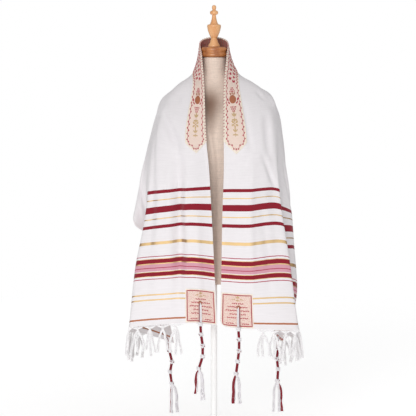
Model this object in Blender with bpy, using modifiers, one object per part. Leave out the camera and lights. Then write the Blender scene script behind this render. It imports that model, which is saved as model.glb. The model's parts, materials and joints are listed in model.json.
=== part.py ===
"""A tallit prayer shawl worn open over a limbless linen dress form.

Metres, +Z up. The front faces -Y and the wearer's right side is at -X. The origin is the centre of the
underside of the stand's base plate.

The shawl is one rectangle of cloth. A place on it is given by two distances over the cloth:
    along   from the centre back, negative towards the left end in the front view
    across  from the neck edge to the outer long edge
Everything sewn on the shawl is made from the same two distances, moved out from the cloth.
"""

import bisect
import functools
import math
import random
from collections import namedtuple

import bmesh
import bpy
from mathutils import Vector

MM = 0.001

# The cut of the shawl
CUT_LENGTH = 1950 * MM
CUT_WIDTH = 500 * MM
CLOTH_WALL = 1.6 * MM
SEAM_GAP = 0.3 * MM
HALF_LENGTH = CUT_LENGTH / 2

# The neckband, sewn just inside the neck edge
BAND_INSET = 3 * MM
BAND_WIDTH = 74 * MM
BAND_EDGE = BAND_INSET + BAND_WIDTH
BAND_HALF_LENGTH = 446 * MM
BAND_POINT = 32 * MM
BAND_TIP_WIDTH = 3 * MM
BAND_TIP_LIFT = 1.1 * MM
BAND_WALL = 1.2 * MM

# The corner patches
PATCH_INSET = 3 * MM
PATCH_WIDTH = 93 * MM
PATCH_HEIGHT = 98 * MM
PATCH_WALL = 1.2 * MM

# The corner tassels
EYELET_ABOVE_HEM = 68 * MM
EYELET_FROM_EDGE = 49 * MM
CORD_RADIUS = 1.9 * MM
WOUND_RADIUS = 4.1 * MM
KNOT_RADIUS = 5.5 * MM
KNOT_HALF_HEIGHT = 5 * MM
KNOT_DROPS = [0, 31 * MM, 65 * MM, 98 * MM, 136 * MM]
STEM_SIDES = 6
TASSEL_TAIL = 88 * MM
TASSEL_STRAND_RADIUS = 2.3 * MM

# The end fringes
FRINGE_MARGIN = 106 * MM
FRINGE_KNOTS = 8
FRINGE_LEGS = 3
FRINGE_LENGTH = 88 * MM
FRINGE_LEG_WIDTH = 5.5 * MM
FRINGE_SPREAD = 8.0
FRINGE_FLARE = 0.16
STRIP_HEIGHT = 4 * MM
STRIP_WALL = 2.4 * MM

# The stand
BASE_RADIUS = 140 * MM
BASE_THICKNESS = 8 * MM
BASE_BEVEL = 2 * MM
POLE_RADIUS = 10 * MM
TORSO_BOTTOM = 490 * MM
ROUND_STEPS = 32

# A section of the shawl runs across it from the neck edge. Its seven guide points are in millimetres:
# the neck edge, the neckband's outer edge, the front's outer fold, the tuck behind that fold, the side,
# the rear layer, and the outer long edge.
Section = namedtuple("Section", "along neck band fold tuck side rear edge")
SECTIONS = [
    Section(-975, (9, -138, 380), (-66, -152, 389), (-253, -114, 371), (-254, -64, 352),
            (-240, -10, 340), (-194, 42, 318), (-126, 76, 289)),
    Section(-800, (0, -141, 562), (-70, -156, 571), (-232, -114, 556), (-238, -66, 540),
            (-228, -14, 520), (-200, 38, 495), (-160, 84, 462)),
    Section(-640, (-8, -145, 725), (-80, -159, 728), (-206, -116, 710), (-202, -80, 700),
            (-206, -34, 665), (-194, 14, 620), (-166, 60, 572)),
    Section(-500, (-16, -146, 860), (-82, -158, 853), (-186, -124, 848), (-204, -82, 832),
            (-206, -46, 770), (-194, -24, 696), (-176, 0, 628)),
    Section(-380, (-26, -140, 966), (-86, -134, 967), (-164, -94, 986), (-187, -48, 948),
            (-204, -20, 885), (-224, -12, 795), (-246, -36, 680)),
    Section(-250, (-31, -80, 1103), (-65, -54, 1097), (-128, -28, 1083), (-160, 2, 1054),
            (-190, 30, 960), (-208, 42, 862), (-224, 40, 748)),
    Section(-140, (-38, -40, 1196), (-64, -6, 1143), (-90, 24, 1117), (-112, 62, 1062),
            (-128, 90, 985), (-138, 102, 885), (-142, 104, 768)),
    Section(-60, (-40, 24, 1240), (-45, 34, 1165), (-50, 64, 1105), (-56, 96, 1040),
            (-60, 116, 960), (-62, 124, 870), (-62, 122, 764)),
    Section(0, (0, 56, 1253), (0, 61, 1176), (0, 84, 1105), (0, 110, 1040),
            (0, 124, 960), (0, 128, 870), (0, 124, 762)),
    Section(60, (40, 24, 1240), (46, 34, 1165), (50, 64, 1105), (56, 96, 1040),
            (60, 116, 960), (62, 124, 870), (62, 122, 766)),
    Section(140, (39, -40, 1196), (70, -8, 1147), (98, 22, 1118), (116, 60, 1066),
            (132, 88, 988), (138, 102, 886), (138, 104, 770)),
    Section(250, (31, -80, 1102), (76, -56, 1101), (146, -26, 1089), (182, 2, 1056),
            (204, 30, 966), (212, 46, 868), (210, 60, 768)),
    Section(380, (29, -140, 969), (95, -138, 970), (172, -98, 993), (202, -50, 964),
            (216, -8, 891), (226, 16, 812), (236, 24, 732)),
    Section(500, (29, -146, 849), (101, -159, 851), (188, -122, 851), (191, -84, 822),
            (231, -34, 775), (232, 16, 748), (214, 66, 690)),
    Section(640, (25, -144, 723), (92, -160, 724), (204, -118, 724), (187, -90, 662),
            (243, -36, 648), (230, 22, 620), (194, 74, 582)),
    Section(800, (22, -141, 559), (95, -158, 557), (230, -116, 557), (209, -86, 507),
            (258, -38, 478), (224, 22, 474), (184, 74, 442)),
    Section(975, (17, -134, 375), (101, -151, 371), (253, -112, 361), (257, -64, 356),
            (236, -12, 330), (184, 34, 322), (224, 84, 287)),
]

# Soft folds of the shawl, in millimetres. A fold that runs down the front lies at one distance across
# the cloth, and one that runs down the back lies at one distance along it. Start and end are on the
# other distance. A negative height is a trough.
Fold = namedtuple("Fold", "runs at half_width height start end")
FOLDS = [
    Fold("along", 112, 32, -7, -900, -330),
    Fold("along", 176, 38, 5, -960, -420),
    Fold("along", 92, 40, 3, 420, 940),
    Fold("along", 168, 34, -4, 400, 900),
    Fold("along", 190, 30, 5, -340, -170),
    Fold("along", 186, 30, 5, 170, 330),
    Fold("across", -104, 34, 9, 190, 510),
    Fold("across", -30, 30, -6, 230, 510),
    Fold("across", 46, 32, 8, 210, 510),
    Fold("across", 112, 30, -6, 240, 510),
    Fold("across", 196, 42, 7, 250, 510),
    Fold("across", -196, 40, -6, 260, 510),
]

# Sections of the linen torso, in millimetres: half widths, half depths and how far back the middle is
TorsoSection = namedtuple("TorsoSection", "height half_width half_depth back")
TORSO = [
    TorsoSection(1192, 37, 36, 0),
    TorsoSection(1165, 37, 36, 0),
    TorsoSection(1142, 40, 40, 0),
    TorsoSection(1124, 57, 48, 0),
    TorsoSection(1105, 95, 60, 0),
    TorsoSection(1086, 127, 68, 0),
    TorsoSection(1060, 142.5, 72, 1),
    TorsoSection(1030, 147, 83, -2),
    TorsoSection(990, 150, 97, -8),
    TorsoSection(940, 148, 108, -14),
    TorsoSection(880, 136, 102, -10),
    TorsoSection(820, 122, 90, -2),
    TorsoSection(760, 115, 84, 2),
    TorsoSection(700, 120, 88, 5),
    TorsoSection(640, 134, 97, 6),
    TorsoSection(580, 146, 103, 6),
    TorsoSection(520, 150, 104, 6),
    TorsoSection(490, 147, 102, 6),
]

# Turned profiles, in millimetres: radius and height above the foot of the piece, from the top down
NECK_CAP_FOOT = 1192.3
NECK_CAP = [
    (9, 31), (30, 30.4), (37, 28.6), (40, 25), (40.6, 20), (39, 15.5), (38.6, 13),
    (40.6, 10.6), (42.2, 7), (42, 3), (40, 0),
]
FINIAL_FOOT = 1223.6
FINIAL = [
    (2.5, 126.4), (5.6, 124), (6.6, 119), (5.6, 113.6), (5, 111.4), (11.6, 107.4), (12.6, 103.2), (11, 98.6),
    (6.4, 96.4), (6.2, 92), (9, 78), (13.6, 68.4), (19.6, 66.6), (21.2, 63), (20.4, 56), (18.6, 48),
    (15.4, 39), (11.4, 30), (8.8, 25), (10.2, 21), (14, 10), (18.2, 3.4), (18.4, 0),
]

# One corner tassel: which end and long edge of the shawl it hangs from, how far from that edge its cord
# leaves the hem, and how far the cord drifts sideways at each knot, in millimetres
Tassel = namedtuple("Tassel", "place end edge leaves_hem sway")
TASSELS = [
    Tassel("front_left", "left", "neck", 49, (0, 1, 6, 8, -1)),
    Tassel("front_right", "right", "neck", 52, (0, 2, 4, 0, -3)),
    Tassel("rear_left", "left", "outer", 20, (0, 1, 10, 3, 9)),
    Tassel("rear_right", "right", "outer", 49, (0, 2, -4, 1, -2)),
]

# Colours, as linear red, green and blue, with roughness and metallic values
Finish = namedtuple("Finish", "red green blue roughness metallic")
FINISHES = {
    "woven_wool": Finish(0.84, 0.82, 0.82, 0.85, 0.0),
    "brocade": Finish(0.72, 0.55, 0.46, 0.7, 0.0),
    "tassel_cord": Finish(0.72, 0.62, 0.62, 0.8, 0.0),
    "fringe_yarn": Finish(0.76, 0.75, 0.75, 0.85, 0.0),
    "linen": Finish(0.74, 0.60, 0.52, 0.9, 0.0),
    "turned_wood": Finish(0.45, 0.22, 0.1, 0.4, 0.0),
    "pale_wood": Finish(0.68, 0.38, 0.19, 0.35, 0.0),
    "painted_steel": Finish(0.85, 0.85, 0.85, 0.4, 0.0),
}


def clear_scene():
    """Remove every object that the file opened with."""
    for thing in list(bpy.data.objects):
        bpy.data.objects.remove(thing, do_unlink=True)


def make_material(name):
    """A Principled material from the table of finishes."""
    finish = FINISHES[name]
    material = bpy.data.materials.get(name) or bpy.data.materials.new(name)
    material.use_nodes = True
    shader = material.node_tree.nodes["Principled BSDF"]
    shader.inputs["Base Color"].default_value = (finish.red, finish.green, finish.blue, 1)
    shader.inputs["Roughness"].default_value = finish.roughness
    shader.inputs["Metallic"].default_value = finish.metallic
    return material


def add_part(name, vertices, faces, material, smooth=True):
    """A named mesh object with its material, in the part's collection."""
    mesh = bpy.data.meshes.new(name)
    mesh.from_pydata([tuple(v) for v in vertices], [], faces)
    mesh.materials.append(make_material(material))
    if smooth:
        mesh.shade_smooth()
    part = bpy.data.objects.new(name, mesh)
    bpy.data.collections["tallit_on_dress_form"].objects.link(part)
    return part


def smooth_curve(keys, values, at):
    """The value at a key, on a smooth curve through all the keys' values."""
    last = len(keys) - 1
    i = min(max(bisect.bisect_right(keys, at) - 1, 0), last - 1)

    def slope(k):
        low = max(k - 1, 0)
        high = min(k + 1, last)
        return (values[high] - values[low]) / (keys[high] - keys[low])

    span = keys[i + 1] - keys[i]
    t = (at - keys[i]) / span
    return (
        values[i] * (2 * t ** 3 - 3 * t ** 2 + 1)
        + slope(i) * span * (t ** 3 - 2 * t ** 2 + t)
        + values[i + 1] * (3 * t ** 2 - 2 * t ** 3)
        + slope(i + 1) * span * (t ** 3 - t ** 2)
    )


# The shawl's surface

@functools.lru_cache(maxsize=None)
def section_at(along):
    """The section at a distance along: its guide points and how far across the cloth each lies."""
    keys = [section.along * MM for section in SECTIONS]
    guides = []
    for column in Section._fields[1:]:
        values = [Vector(getattr(section, column)) * MM for section in SECTIONS]
        guides.append(smooth_curve(keys, values, along))
    gaps = [(far - near).length for near, far in zip(guides[1:], guides[2:])]
    reach = [0.0, BAND_EDGE]
    for gap in gaps:
        reach.append(reach[-1] + gap / sum(gaps) * (CUT_WIDTH - BAND_EDGE))
    return guides, reach


def surface_base(along, across):
    """The middle of the cloth's wall, without its soft folds."""
    guides, reach = section_at(along)
    return smooth_curve(reach, guides, across)


def surface_normal(along, across):
    """The direction that the cloth's right side faces."""
    step = 2 * MM
    a0 = max(along - step, -HALF_LENGTH)
    a1 = min(along + step, HALF_LENGTH)
    c0 = max(across - step, 0.0)
    c1 = min(across + step, CUT_WIDTH)
    down_cloth = surface_base(a1, across) - surface_base(a0, across)
    over_cloth = surface_base(along, c1) - surface_base(along, c0)
    return down_cloth.cross(over_cloth).normalized()


def rise_and_fall(value, start, end):
    """One between start and end, and easing to nothing near each."""
    ease = 0.22 * (end - start)
    t = min(value - start, end - value) / ease
    t = min(max(t, 0.0), 1.0)
    return t * t * (3 - 2 * t)


def fold_height(along, across):
    """How far the soft folds move the cloth out of its section."""
    height = 0.0
    for fold in FOLDS:
        if fold.runs == "along":
            beside, down = across, along
        else:
            beside, down = along, across
        offset = (beside / MM - fold.at) / fold.half_width
        if abs(offset) < 1:
            crest = math.cos(offset * math.pi / 2) ** 2
            height += fold.height * MM * crest * rise_and_fall(down / MM, fold.start, fold.end)
    return height


def cloth_point(along, across, out=0.0):
    """A point of the cloth, moved out from the middle of its wall."""
    normal = surface_normal(along, across)
    return surface_base(along, across) + normal * (fold_height(along, across) + out)


def even_steps(start, end, longest):
    """Evenly spaced values after the start, up to and including the end."""
    count = max(1, math.ceil((end - start) / longest - 1e-6))
    return [start + (end - start) * (i + 1) / count for i in range(count)]


def across_lines():
    """The mesh lines over the cloth, which the edges of the band and the patches share."""
    lines = [0.0, BAND_INSET]
    lines += even_steps(BAND_INSET, BAND_INSET + BAND_WIDTH, 20 * MM)
    lines += even_steps(BAND_INSET + BAND_WIDTH, PATCH_INSET + PATCH_WIDTH, 20 * MM)
    lines += even_steps(PATCH_INSET + PATCH_WIDTH, CUT_WIDTH - PATCH_INSET - PATCH_WIDTH, 22 * MM)
    lines += even_steps(CUT_WIDTH - PATCH_INSET - PATCH_WIDTH, CUT_WIDTH - PATCH_INSET, 24 * MM)
    lines.append(CUT_WIDTH)
    return lines


def along_lines():
    """The mesh lines down the cloth, closer together over the shoulders and the neck."""
    half = [0.0]
    half += even_steps(0.0, BAND_HALF_LENGTH - BAND_POINT, 18 * MM)
    half += even_steps(BAND_HALF_LENGTH - BAND_POINT, BAND_HALF_LENGTH, BAND_POINT / 2)
    half += even_steps(BAND_HALF_LENGTH, HALF_LENGTH - PATCH_INSET - PATCH_HEIGHT, 36 * MM)
    half += even_steps(HALF_LENGTH - PATCH_INSET - PATCH_HEIGHT, HALF_LENGTH - PATCH_INSET, 25 * MM)
    half.append(HALF_LENGTH)
    return [-a for a in reversed(half[1:])] + half


def add_wall(name, grid, wall, material):
    """A closed wall about a grid of points, given row by row."""
    rows = len(grid)
    columns = len(grid[0])
    vertices = [point for row in grid for point in row]
    faces = []
    for r in range(rows - 1):
        for c in range(columns - 1):
            a = r * columns + c
            faces.append((a, a + 1, a + columns + 1))
            faces.append((a, a + columns + 1, a + columns))
    part = add_part(name, vertices, faces, material)
    solid = part.modifiers.new("Wall", "SOLIDIFY")
    solid.thickness = wall
    solid.offset = 0
    return part


def make_shawl_cloth():
    """The whole rectangle of cloth."""
    columns = across_lines()
    grid = [[cloth_point(along, across) for across in columns] for along in along_lines()]
    return add_wall("shawl_cloth", grid, CLOTH_WALL, "woven_wool")


def make_neckband():
    """The brocade strip along the neck edge, narrowed to a point at each end."""
    out = CLOTH_WALL / 2 + SEAM_GAP + BAND_WALL / 2
    shoulder = BAND_HALF_LENGTH - BAND_POINT
    lines = [a for a in along_lines() if abs(a) <= shoulder + 1e-6]
    tip = even_steps(shoulder, BAND_HALF_LENGTH, BAND_POINT / 2)
    lines = [-a for a in reversed(tip)] + lines + tip
    columns = [c for c in across_lines() if BAND_INSET - 1e-6 <= c <= BAND_INSET + BAND_WIDTH + 1e-6]
    middle = BAND_INSET + BAND_WIDTH / 2
    grid = []
    for along in lines:
        past = max(0.0, abs(along) - shoulder) / BAND_POINT
        share = 1 - past * (1 - BAND_TIP_WIDTH / BAND_WIDTH)
        lifted = out + (BAND_TIP_LIFT if abs(along) > shoulder - 1e-6 else 0.0)
        grid.append([cloth_point(along, middle + (c - middle) * share, lifted) for c in columns])
    return add_wall("neckband", grid, BAND_WALL, "brocade")


def corner_range(tassel):
    """The mesh lines that a corner patch covers, along and across."""
    near = HALF_LENGTH - PATCH_INSET - PATCH_HEIGHT - 1e-6
    far = HALF_LENGTH - PATCH_INSET + 1e-6
    sign = -1 if tassel.end == "left" else 1
    rows = [a for a in along_lines() if near <= sign * a <= far]
    if tassel.edge == "neck":
        columns = [c for c in across_lines() if PATCH_INSET - 1e-6 <= c <= PATCH_INSET + PATCH_WIDTH + 1e-6]
    else:
        low = CUT_WIDTH - PATCH_INSET - PATCH_WIDTH - 1e-6
        columns = [c for c in across_lines() if low <= c <= CUT_WIDTH - PATCH_INSET + 1e-6]
    return rows, columns


def make_patch(tassel):
    """One brocade corner patch."""
    out = CLOTH_WALL / 2 + SEAM_GAP + PATCH_WALL / 2
    rows, columns = corner_range(tassel)
    grid = [[cloth_point(along, across, out) for across in columns] for along in rows]
    return add_wall("patch_" + tassel.place, grid, PATCH_WALL, "brocade")


# Strands and tassels

def ring_of(centre, side, front, radius, count):
    """The corners of a level ring, starting at its side direction."""
    corners = []
    for i in range(count):
        turn = 2 * math.pi * i / count
        corners.append(centre + (side * math.cos(turn) + front * math.sin(turn)) * radius)
    return corners


def stem_path(tassel):
    """The middle of a tassel's cord with its radius: over the patch, off the hem and down the knots."""
    sign = -1 if tassel.end == "left" else 1
    on_patch = CLOTH_WALL / 2 + SEAM_GAP + PATCH_WALL + SEAM_GAP + CORD_RADIUS * 1.05
    path = []
    for share in (0, 0.33, 0.66, 0.97, 1):
        from_edge = EYELET_FROM_EDGE + (tassel.leaves_hem * MM - EYELET_FROM_EDGE) * share
        across = from_edge if tassel.edge == "neck" else CUT_WIDTH - from_edge
        along = sign * (HALF_LENGTH - EYELET_ABOVE_HEM * (1 - share))
        path.append((cloth_point(along, across, on_patch), CORD_RADIUS))
    hem = path.pop()[0]
    first = hem + Vector((0, 0, -KNOT_HALF_HEIGHT - 2 * MM))
    for i, drop in enumerate(KNOT_DROPS):
        knot = first + Vector((tassel.sway[i] * MM, 0, -drop))
        rise = Vector((0, 0, KNOT_HALF_HEIGHT))
        path.append((knot + rise, WOUND_RADIUS * 0.9))
        path.append((knot, KNOT_RADIUS))
        path.append((knot - rise, WOUND_RADIUS))
    return path


def make_tassel(tassel, shuffle):
    """One corner tassel: a knotted and wound cord with four loose strands fused to its foot."""
    path = stem_path(tassel)
    vertices = []
    faces = []
    for i, (centre, radius) in enumerate(path):
        low = path[max(i - 1, 0)][0]
        high = path[min(i + 1, len(path) - 1)][0]
        run = (high - low).normalized()
        side = Vector((1, 0, 0)) - run * run.x
        side.normalize()
        vertices += ring_of(centre, side, run.cross(side), radius, STEM_SIDES)
    count = STEM_SIDES
    for i in range(len(path) - 1):
        for k in range(count):
            a = i * count + k
            b = i * count + (k + 1) % count
            faces.append((a, b, b + count, a + count))
    faces.append(tuple(reversed(range(count))))
    foot = (len(path) - 1) * count
    middle = len(vertices)
    foot_centre = path[-1][0]
    vertices.append(foot_centre)
    for k in range(count):
        a = foot + k
        b = foot + (k + 1) % count
        if k in (2, 5):
            faces.append((a, b, middle))
            continue
        root = (vertices[a] + vertices[b] + foot_centre) / 3
        away = (root - foot_centre).normalized()
        length = TASSEL_TAIL * shuffle.uniform(0.86, 1.08)
        ring = (a, b, middle)
        for share, spread in ((0.14, 3.2), (0.55, 4.6), (1.0, shuffle.uniform(4.2, 7.5))):
            centre = foot_centre + away * (2.2 + spread) * MM + Vector((0, 0, -length * share))
            start = len(vertices)
            for corner in ring_of(Vector(), away, Vector((-away.y, away.x, 0)), TASSEL_STRAND_RADIUS, 3):
                vertices.append(centre + corner)
            # The root's corners a and b lie outwards and its third corner lies inwards.
            turned = match_ring([vertices[v] - root for v in ring], range(start, start + 3), vertices, centre)
            for j in range(3):
                n = (j + 1) % 3
                faces.append((ring[j], ring[n], turned[n], turned[j]))
            ring = tuple(turned)
            root = centre
        faces.append(ring)
    return close_part("tassel_" + tassel.place, vertices, faces, "tassel_cord")


def match_ring(wanted, ring, vertices, centre):
    """The corners of a ring, in the order that twists least against the wanted directions."""
    ring = list(ring)
    best = None
    for order in (ring, ring[::-1]):
        for turn in range(len(ring)):
            trial = order[turn:] + order[:turn]
            fit = sum((vertices[v] - centre).normalized().dot(w.normalized()) for v, w in zip(trial, wanted))
            if best is None or fit > best[0]:
                best = (fit, trial)
    return best[1]


def close_part(name, vertices, faces, material):
    """A part whose faces are turned to point out."""
    part = add_part(name, vertices, faces, material)
    shape = bmesh.new()
    shape.from_mesh(part.data)
    bmesh.ops.recalc_face_normals(shape, faces=shape.faces)
    shape.to_mesh(part.data)
    shape.free()
    return part


def make_fringe(end, shuffle):
    """One end's fringe: legs in groups, fused to a narrow strip just under the hem."""
    sign = -1 if end == "left" else 1
    first = FRINGE_MARGIN
    last = CUT_WIDTH - FRINGE_MARGIN
    pitch = (last - first) / FRINGE_KNOTS
    stops = [first]
    leg_starts = []
    for knot in range(FRINGE_KNOTS):
        centre = first + pitch * (knot + 0.5) + shuffle.uniform(-3, 3) * MM
        begin = centre - FRINGE_LEG_WIDTH * FRINGE_LEGS / 2
        for leg in range(FRINGE_LEGS):
            leg_starts.append((len(stops), leg))
            stops.append(begin + leg * FRINGE_LEG_WIDTH)
        stops.append(begin + FRINGE_LEGS * FRINGE_LEG_WIDTH)
    stops.append(last)
    vertices = []
    faces = []
    outward = []
    for across in stops:
        hem = cloth_point(sign * HALF_LENGTH, across)
        normal = surface_normal(sign * HALF_LENGTH, across)
        outward.append(Vector((normal.x, normal.y, 0)).normalized())
        level = outward[-1] * STRIP_WALL / 2
        top = hem + Vector((0, 0, -SEAM_GAP - 0.5 * MM))
        bottom = top + Vector((0, 0, -STRIP_HEIGHT))
        vertices += [top + level, top - level, bottom - level, bottom + level]
    leg_at = dict(leg_starts)
    for i in range(len(stops) - 1):
        a = i * 4
        b = a + 4
        faces.append((a, a + 1, b + 1, b))
        faces.append((a + 1, a + 2, b + 2, b + 1))
        faces.append((a + 3, a, b, b + 3))
        if i not in leg_at:
            faces.append((a + 2, a + 3, b + 3, b + 2))
            continue
        ring = (a + 2, a + 3, b + 3, b + 2)
        along_hem = (vertices[b + 3] - vertices[a + 3]).normalized()
        along_hem.z = 0
        corners = [vertices[v] for v in ring]
        root = sum(corners, Vector()) / 4
        lean = math.tan(math.radians(FRINGE_SPREAD)) * (leg_at[i] - (FRINGE_LEGS - 1) / 2)
        length = FRINGE_LENGTH * shuffle.uniform(0.86, 1.06)
        for share, plump in ((0.12, 0.8), (0.55, 1.05), (1.0, 0.7)):
            drop = length * share
            flare = outward[i] * drop * share * FRINGE_FLARE
            move = along_hem * drop * lean * (1.0 - 0.25 * share) + flare + Vector((0, 0, -drop))
            start = len(vertices)
            for corner in corners:
                vertices.append(root + (corner - root) * plump + move)
            for j in range(4):
                n = (j + 1) % 4
                faces.append((ring[j], ring[n], start + n, start + j))
            ring = tuple(range(start, start + 4))
        faces.append(ring)
    end_ring = (len(stops) - 1) * 4
    faces.append((0, 1, 2, 3))
    faces.append((end_ring, end_ring + 1, end_ring + 2, end_ring + 3))
    return close_part("fringe_" + end, vertices, faces, "fringe_yarn")


# The dress form and its stand

def make_torso():
    """The linen torso, a loft through level oval sections."""
    vertices = []
    faces = []
    for section in TORSO:
        centre = Vector((0, section.back, section.height)) * MM
        for i in range(ROUND_STEPS):
            turn = 2 * math.pi * i / ROUND_STEPS
            x = math.cos(turn) * section.half_width * MM
            y = math.sin(turn) * section.half_depth * MM
            vertices.append(centre + Vector((x, y, 0)))
    for r in range(len(TORSO) - 1):
        for i in range(ROUND_STEPS):
            a = r * ROUND_STEPS + i
            b = r * ROUND_STEPS + (i + 1) % ROUND_STEPS
            faces.append((a, a + ROUND_STEPS, b + ROUND_STEPS, b))
    faces.append(tuple(range(ROUND_STEPS)))
    foot = (len(TORSO) - 1) * ROUND_STEPS
    faces.append(tuple(reversed(range(foot, foot + ROUND_STEPS))))
    return close_part("form_torso", vertices, faces, "linen")


def make_turned(name, profile, foot, material):
    """A turned piece: its profile, from the top down, spun about the form's axis."""
    points = [(0, profile[0][1])] + list(profile) + [(0, profile[-1][1])]
    vertices = [Vector((radius, 0, foot + height)) * MM for radius, height in points]
    part = add_part(name, vertices, [], material)
    mesh = part.data
    mesh.edges.add(len(vertices) - 1)
    for i in range(len(vertices) - 1):
        mesh.edges[i].vertices = (i, i + 1)
    spin = part.modifiers.new("Turning", "SCREW")
    spin.steps = ROUND_STEPS
    spin.render_steps = ROUND_STEPS
    spin.use_merge_vertices = True
    spin.merge_threshold = 0.00001
    return part


def make_stand():
    """The slim pole and the round base plate."""
    edge = BASE_BEVEL / MM
    thick = BASE_THICKNESS / MM
    wide = BASE_RADIUS / MM
    make_turned("stand_base", [(wide - edge, thick), (wide, thick - edge), (wide, 0)], 0, "painted_steel")
    low = BASE_THICKNESS + SEAM_GAP
    high = TORSO_BOTTOM - SEAM_GAP
    bpy.ops.mesh.primitive_cylinder_add(vertices=20, radius=POLE_RADIUS, depth=high - low,
                                        location=(0, 0, (high + low) / 2))
    pole = bpy.context.object
    pole.name = "stand_pole"
    pole.data.name = "stand_pole"
    pole.data.materials.append(make_material("painted_steel"))
    for owner in list(pole.users_collection):
        owner.objects.unlink(pole)
    bpy.data.collections["tallit_on_dress_form"].objects.link(pole)


def main():
    clear_scene()
    collection = bpy.data.collections.new("tallit_on_dress_form")
    bpy.context.scene.collection.children.link(collection)
    shuffle = random.Random(18)
    make_stand()
    make_torso()
    make_turned("neck_cap", NECK_CAP, NECK_CAP_FOOT, "turned_wood")
    make_turned("finial", FINIAL, FINIAL_FOOT, "pale_wood")
    make_shawl_cloth()
    make_neckband()
    for tassel in TASSELS:
        make_patch(tassel)
        make_tassel(tassel, shuffle)
    for end in ("left", "right"):
        make_fringe(end, shuffle)


main()
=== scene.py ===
"""The looks of a tallit prayer shawl, worn open over a limbless linen dress form.

Metres, +Z up, in the frame of the packed model. The front faces -Y.

A place on the shawl is given by two distances over the cloth:
    along   from the centre back, negative towards the left end in the front view
    across  from the neck edge to the outer long edge
The tables of the drape are those of the construction, so each sewn piece lies on its own solid.
"""

import bisect
import functools
import json
import math
import random
from collections import namedtuple

import bpy
from bpy.props import FloatProperty, FloatVectorProperty, IntProperty, PointerProperty
from mathutils import Matrix, Vector, noise

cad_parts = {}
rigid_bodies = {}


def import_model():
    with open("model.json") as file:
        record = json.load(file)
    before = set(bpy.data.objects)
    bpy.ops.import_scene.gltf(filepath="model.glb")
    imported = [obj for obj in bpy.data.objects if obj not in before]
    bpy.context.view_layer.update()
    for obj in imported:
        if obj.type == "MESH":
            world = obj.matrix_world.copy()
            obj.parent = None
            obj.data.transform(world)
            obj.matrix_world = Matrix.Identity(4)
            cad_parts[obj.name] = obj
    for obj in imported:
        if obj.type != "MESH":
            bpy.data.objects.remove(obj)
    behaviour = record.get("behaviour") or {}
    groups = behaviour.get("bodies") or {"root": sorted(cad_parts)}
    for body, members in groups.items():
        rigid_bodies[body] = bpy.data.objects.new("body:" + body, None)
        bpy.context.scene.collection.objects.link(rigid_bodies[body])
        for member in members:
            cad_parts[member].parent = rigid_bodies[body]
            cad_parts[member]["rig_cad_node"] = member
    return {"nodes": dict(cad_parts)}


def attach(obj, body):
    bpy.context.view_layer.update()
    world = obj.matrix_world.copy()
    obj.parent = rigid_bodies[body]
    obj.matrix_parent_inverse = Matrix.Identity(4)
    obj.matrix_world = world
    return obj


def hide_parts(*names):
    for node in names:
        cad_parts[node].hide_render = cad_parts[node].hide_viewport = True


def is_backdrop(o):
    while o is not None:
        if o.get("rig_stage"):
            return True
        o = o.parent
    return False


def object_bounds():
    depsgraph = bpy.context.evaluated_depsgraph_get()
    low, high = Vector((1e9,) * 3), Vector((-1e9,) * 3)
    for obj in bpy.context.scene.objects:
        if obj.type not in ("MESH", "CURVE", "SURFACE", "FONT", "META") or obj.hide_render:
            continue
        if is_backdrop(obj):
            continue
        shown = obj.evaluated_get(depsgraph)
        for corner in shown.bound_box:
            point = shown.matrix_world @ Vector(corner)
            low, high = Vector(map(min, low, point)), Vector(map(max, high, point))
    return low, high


bl_info = {
    "name": "Tallit on a dress form",
    "version": (1, 0, 0),
    "blender": (4, 5, 0),
    "location": "3D View > Sidebar > Tallit",
    "description": "Weaves, sews and knots a striped prayer shawl over its dress form",
    "category": "Object",
}

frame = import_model()
CAD_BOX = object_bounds()

MM = 0.001

# The cut of the shawl and of what is sewn on it, as in the construction
CUT_LENGTH = 1950 * MM
CUT_WIDTH = 500 * MM
HALF_LENGTH = CUT_LENGTH / 2
SEAM_GAP = 0.15 * MM
BAND_INSET = 3 * MM
BAND_WIDTH = 74 * MM
BAND_EDGE = BAND_INSET + BAND_WIDTH
BAND_HALF_LENGTH = 446 * MM
BAND_POINT = 32 * MM
BAND_TIP_WIDTH = 3 * MM
PATCH_INSET = 3 * MM
PATCH_WIDTH = 93 * MM
PATCH_HEIGHT = 98 * MM
EYELET_ABOVE_HEM = 61 * MM
EYELET_FROM_EDGE = 52 * MM
KNOT_RADIUS = 5.5 * MM
KNOT_HALF_HEIGHT = 5 * MM
KNOT_YARN = 2.3 * MM
# The dyed cord shows once where it crosses these knots
CROSSED_KNOTS = (1, 2, 4)
KNOT_DROPS = [0, 31 * MM, 65 * MM, 98 * MM, 136 * MM]
FRINGE_MARGIN = 106 * MM
FRINGE_KNOTS = 8

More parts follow.
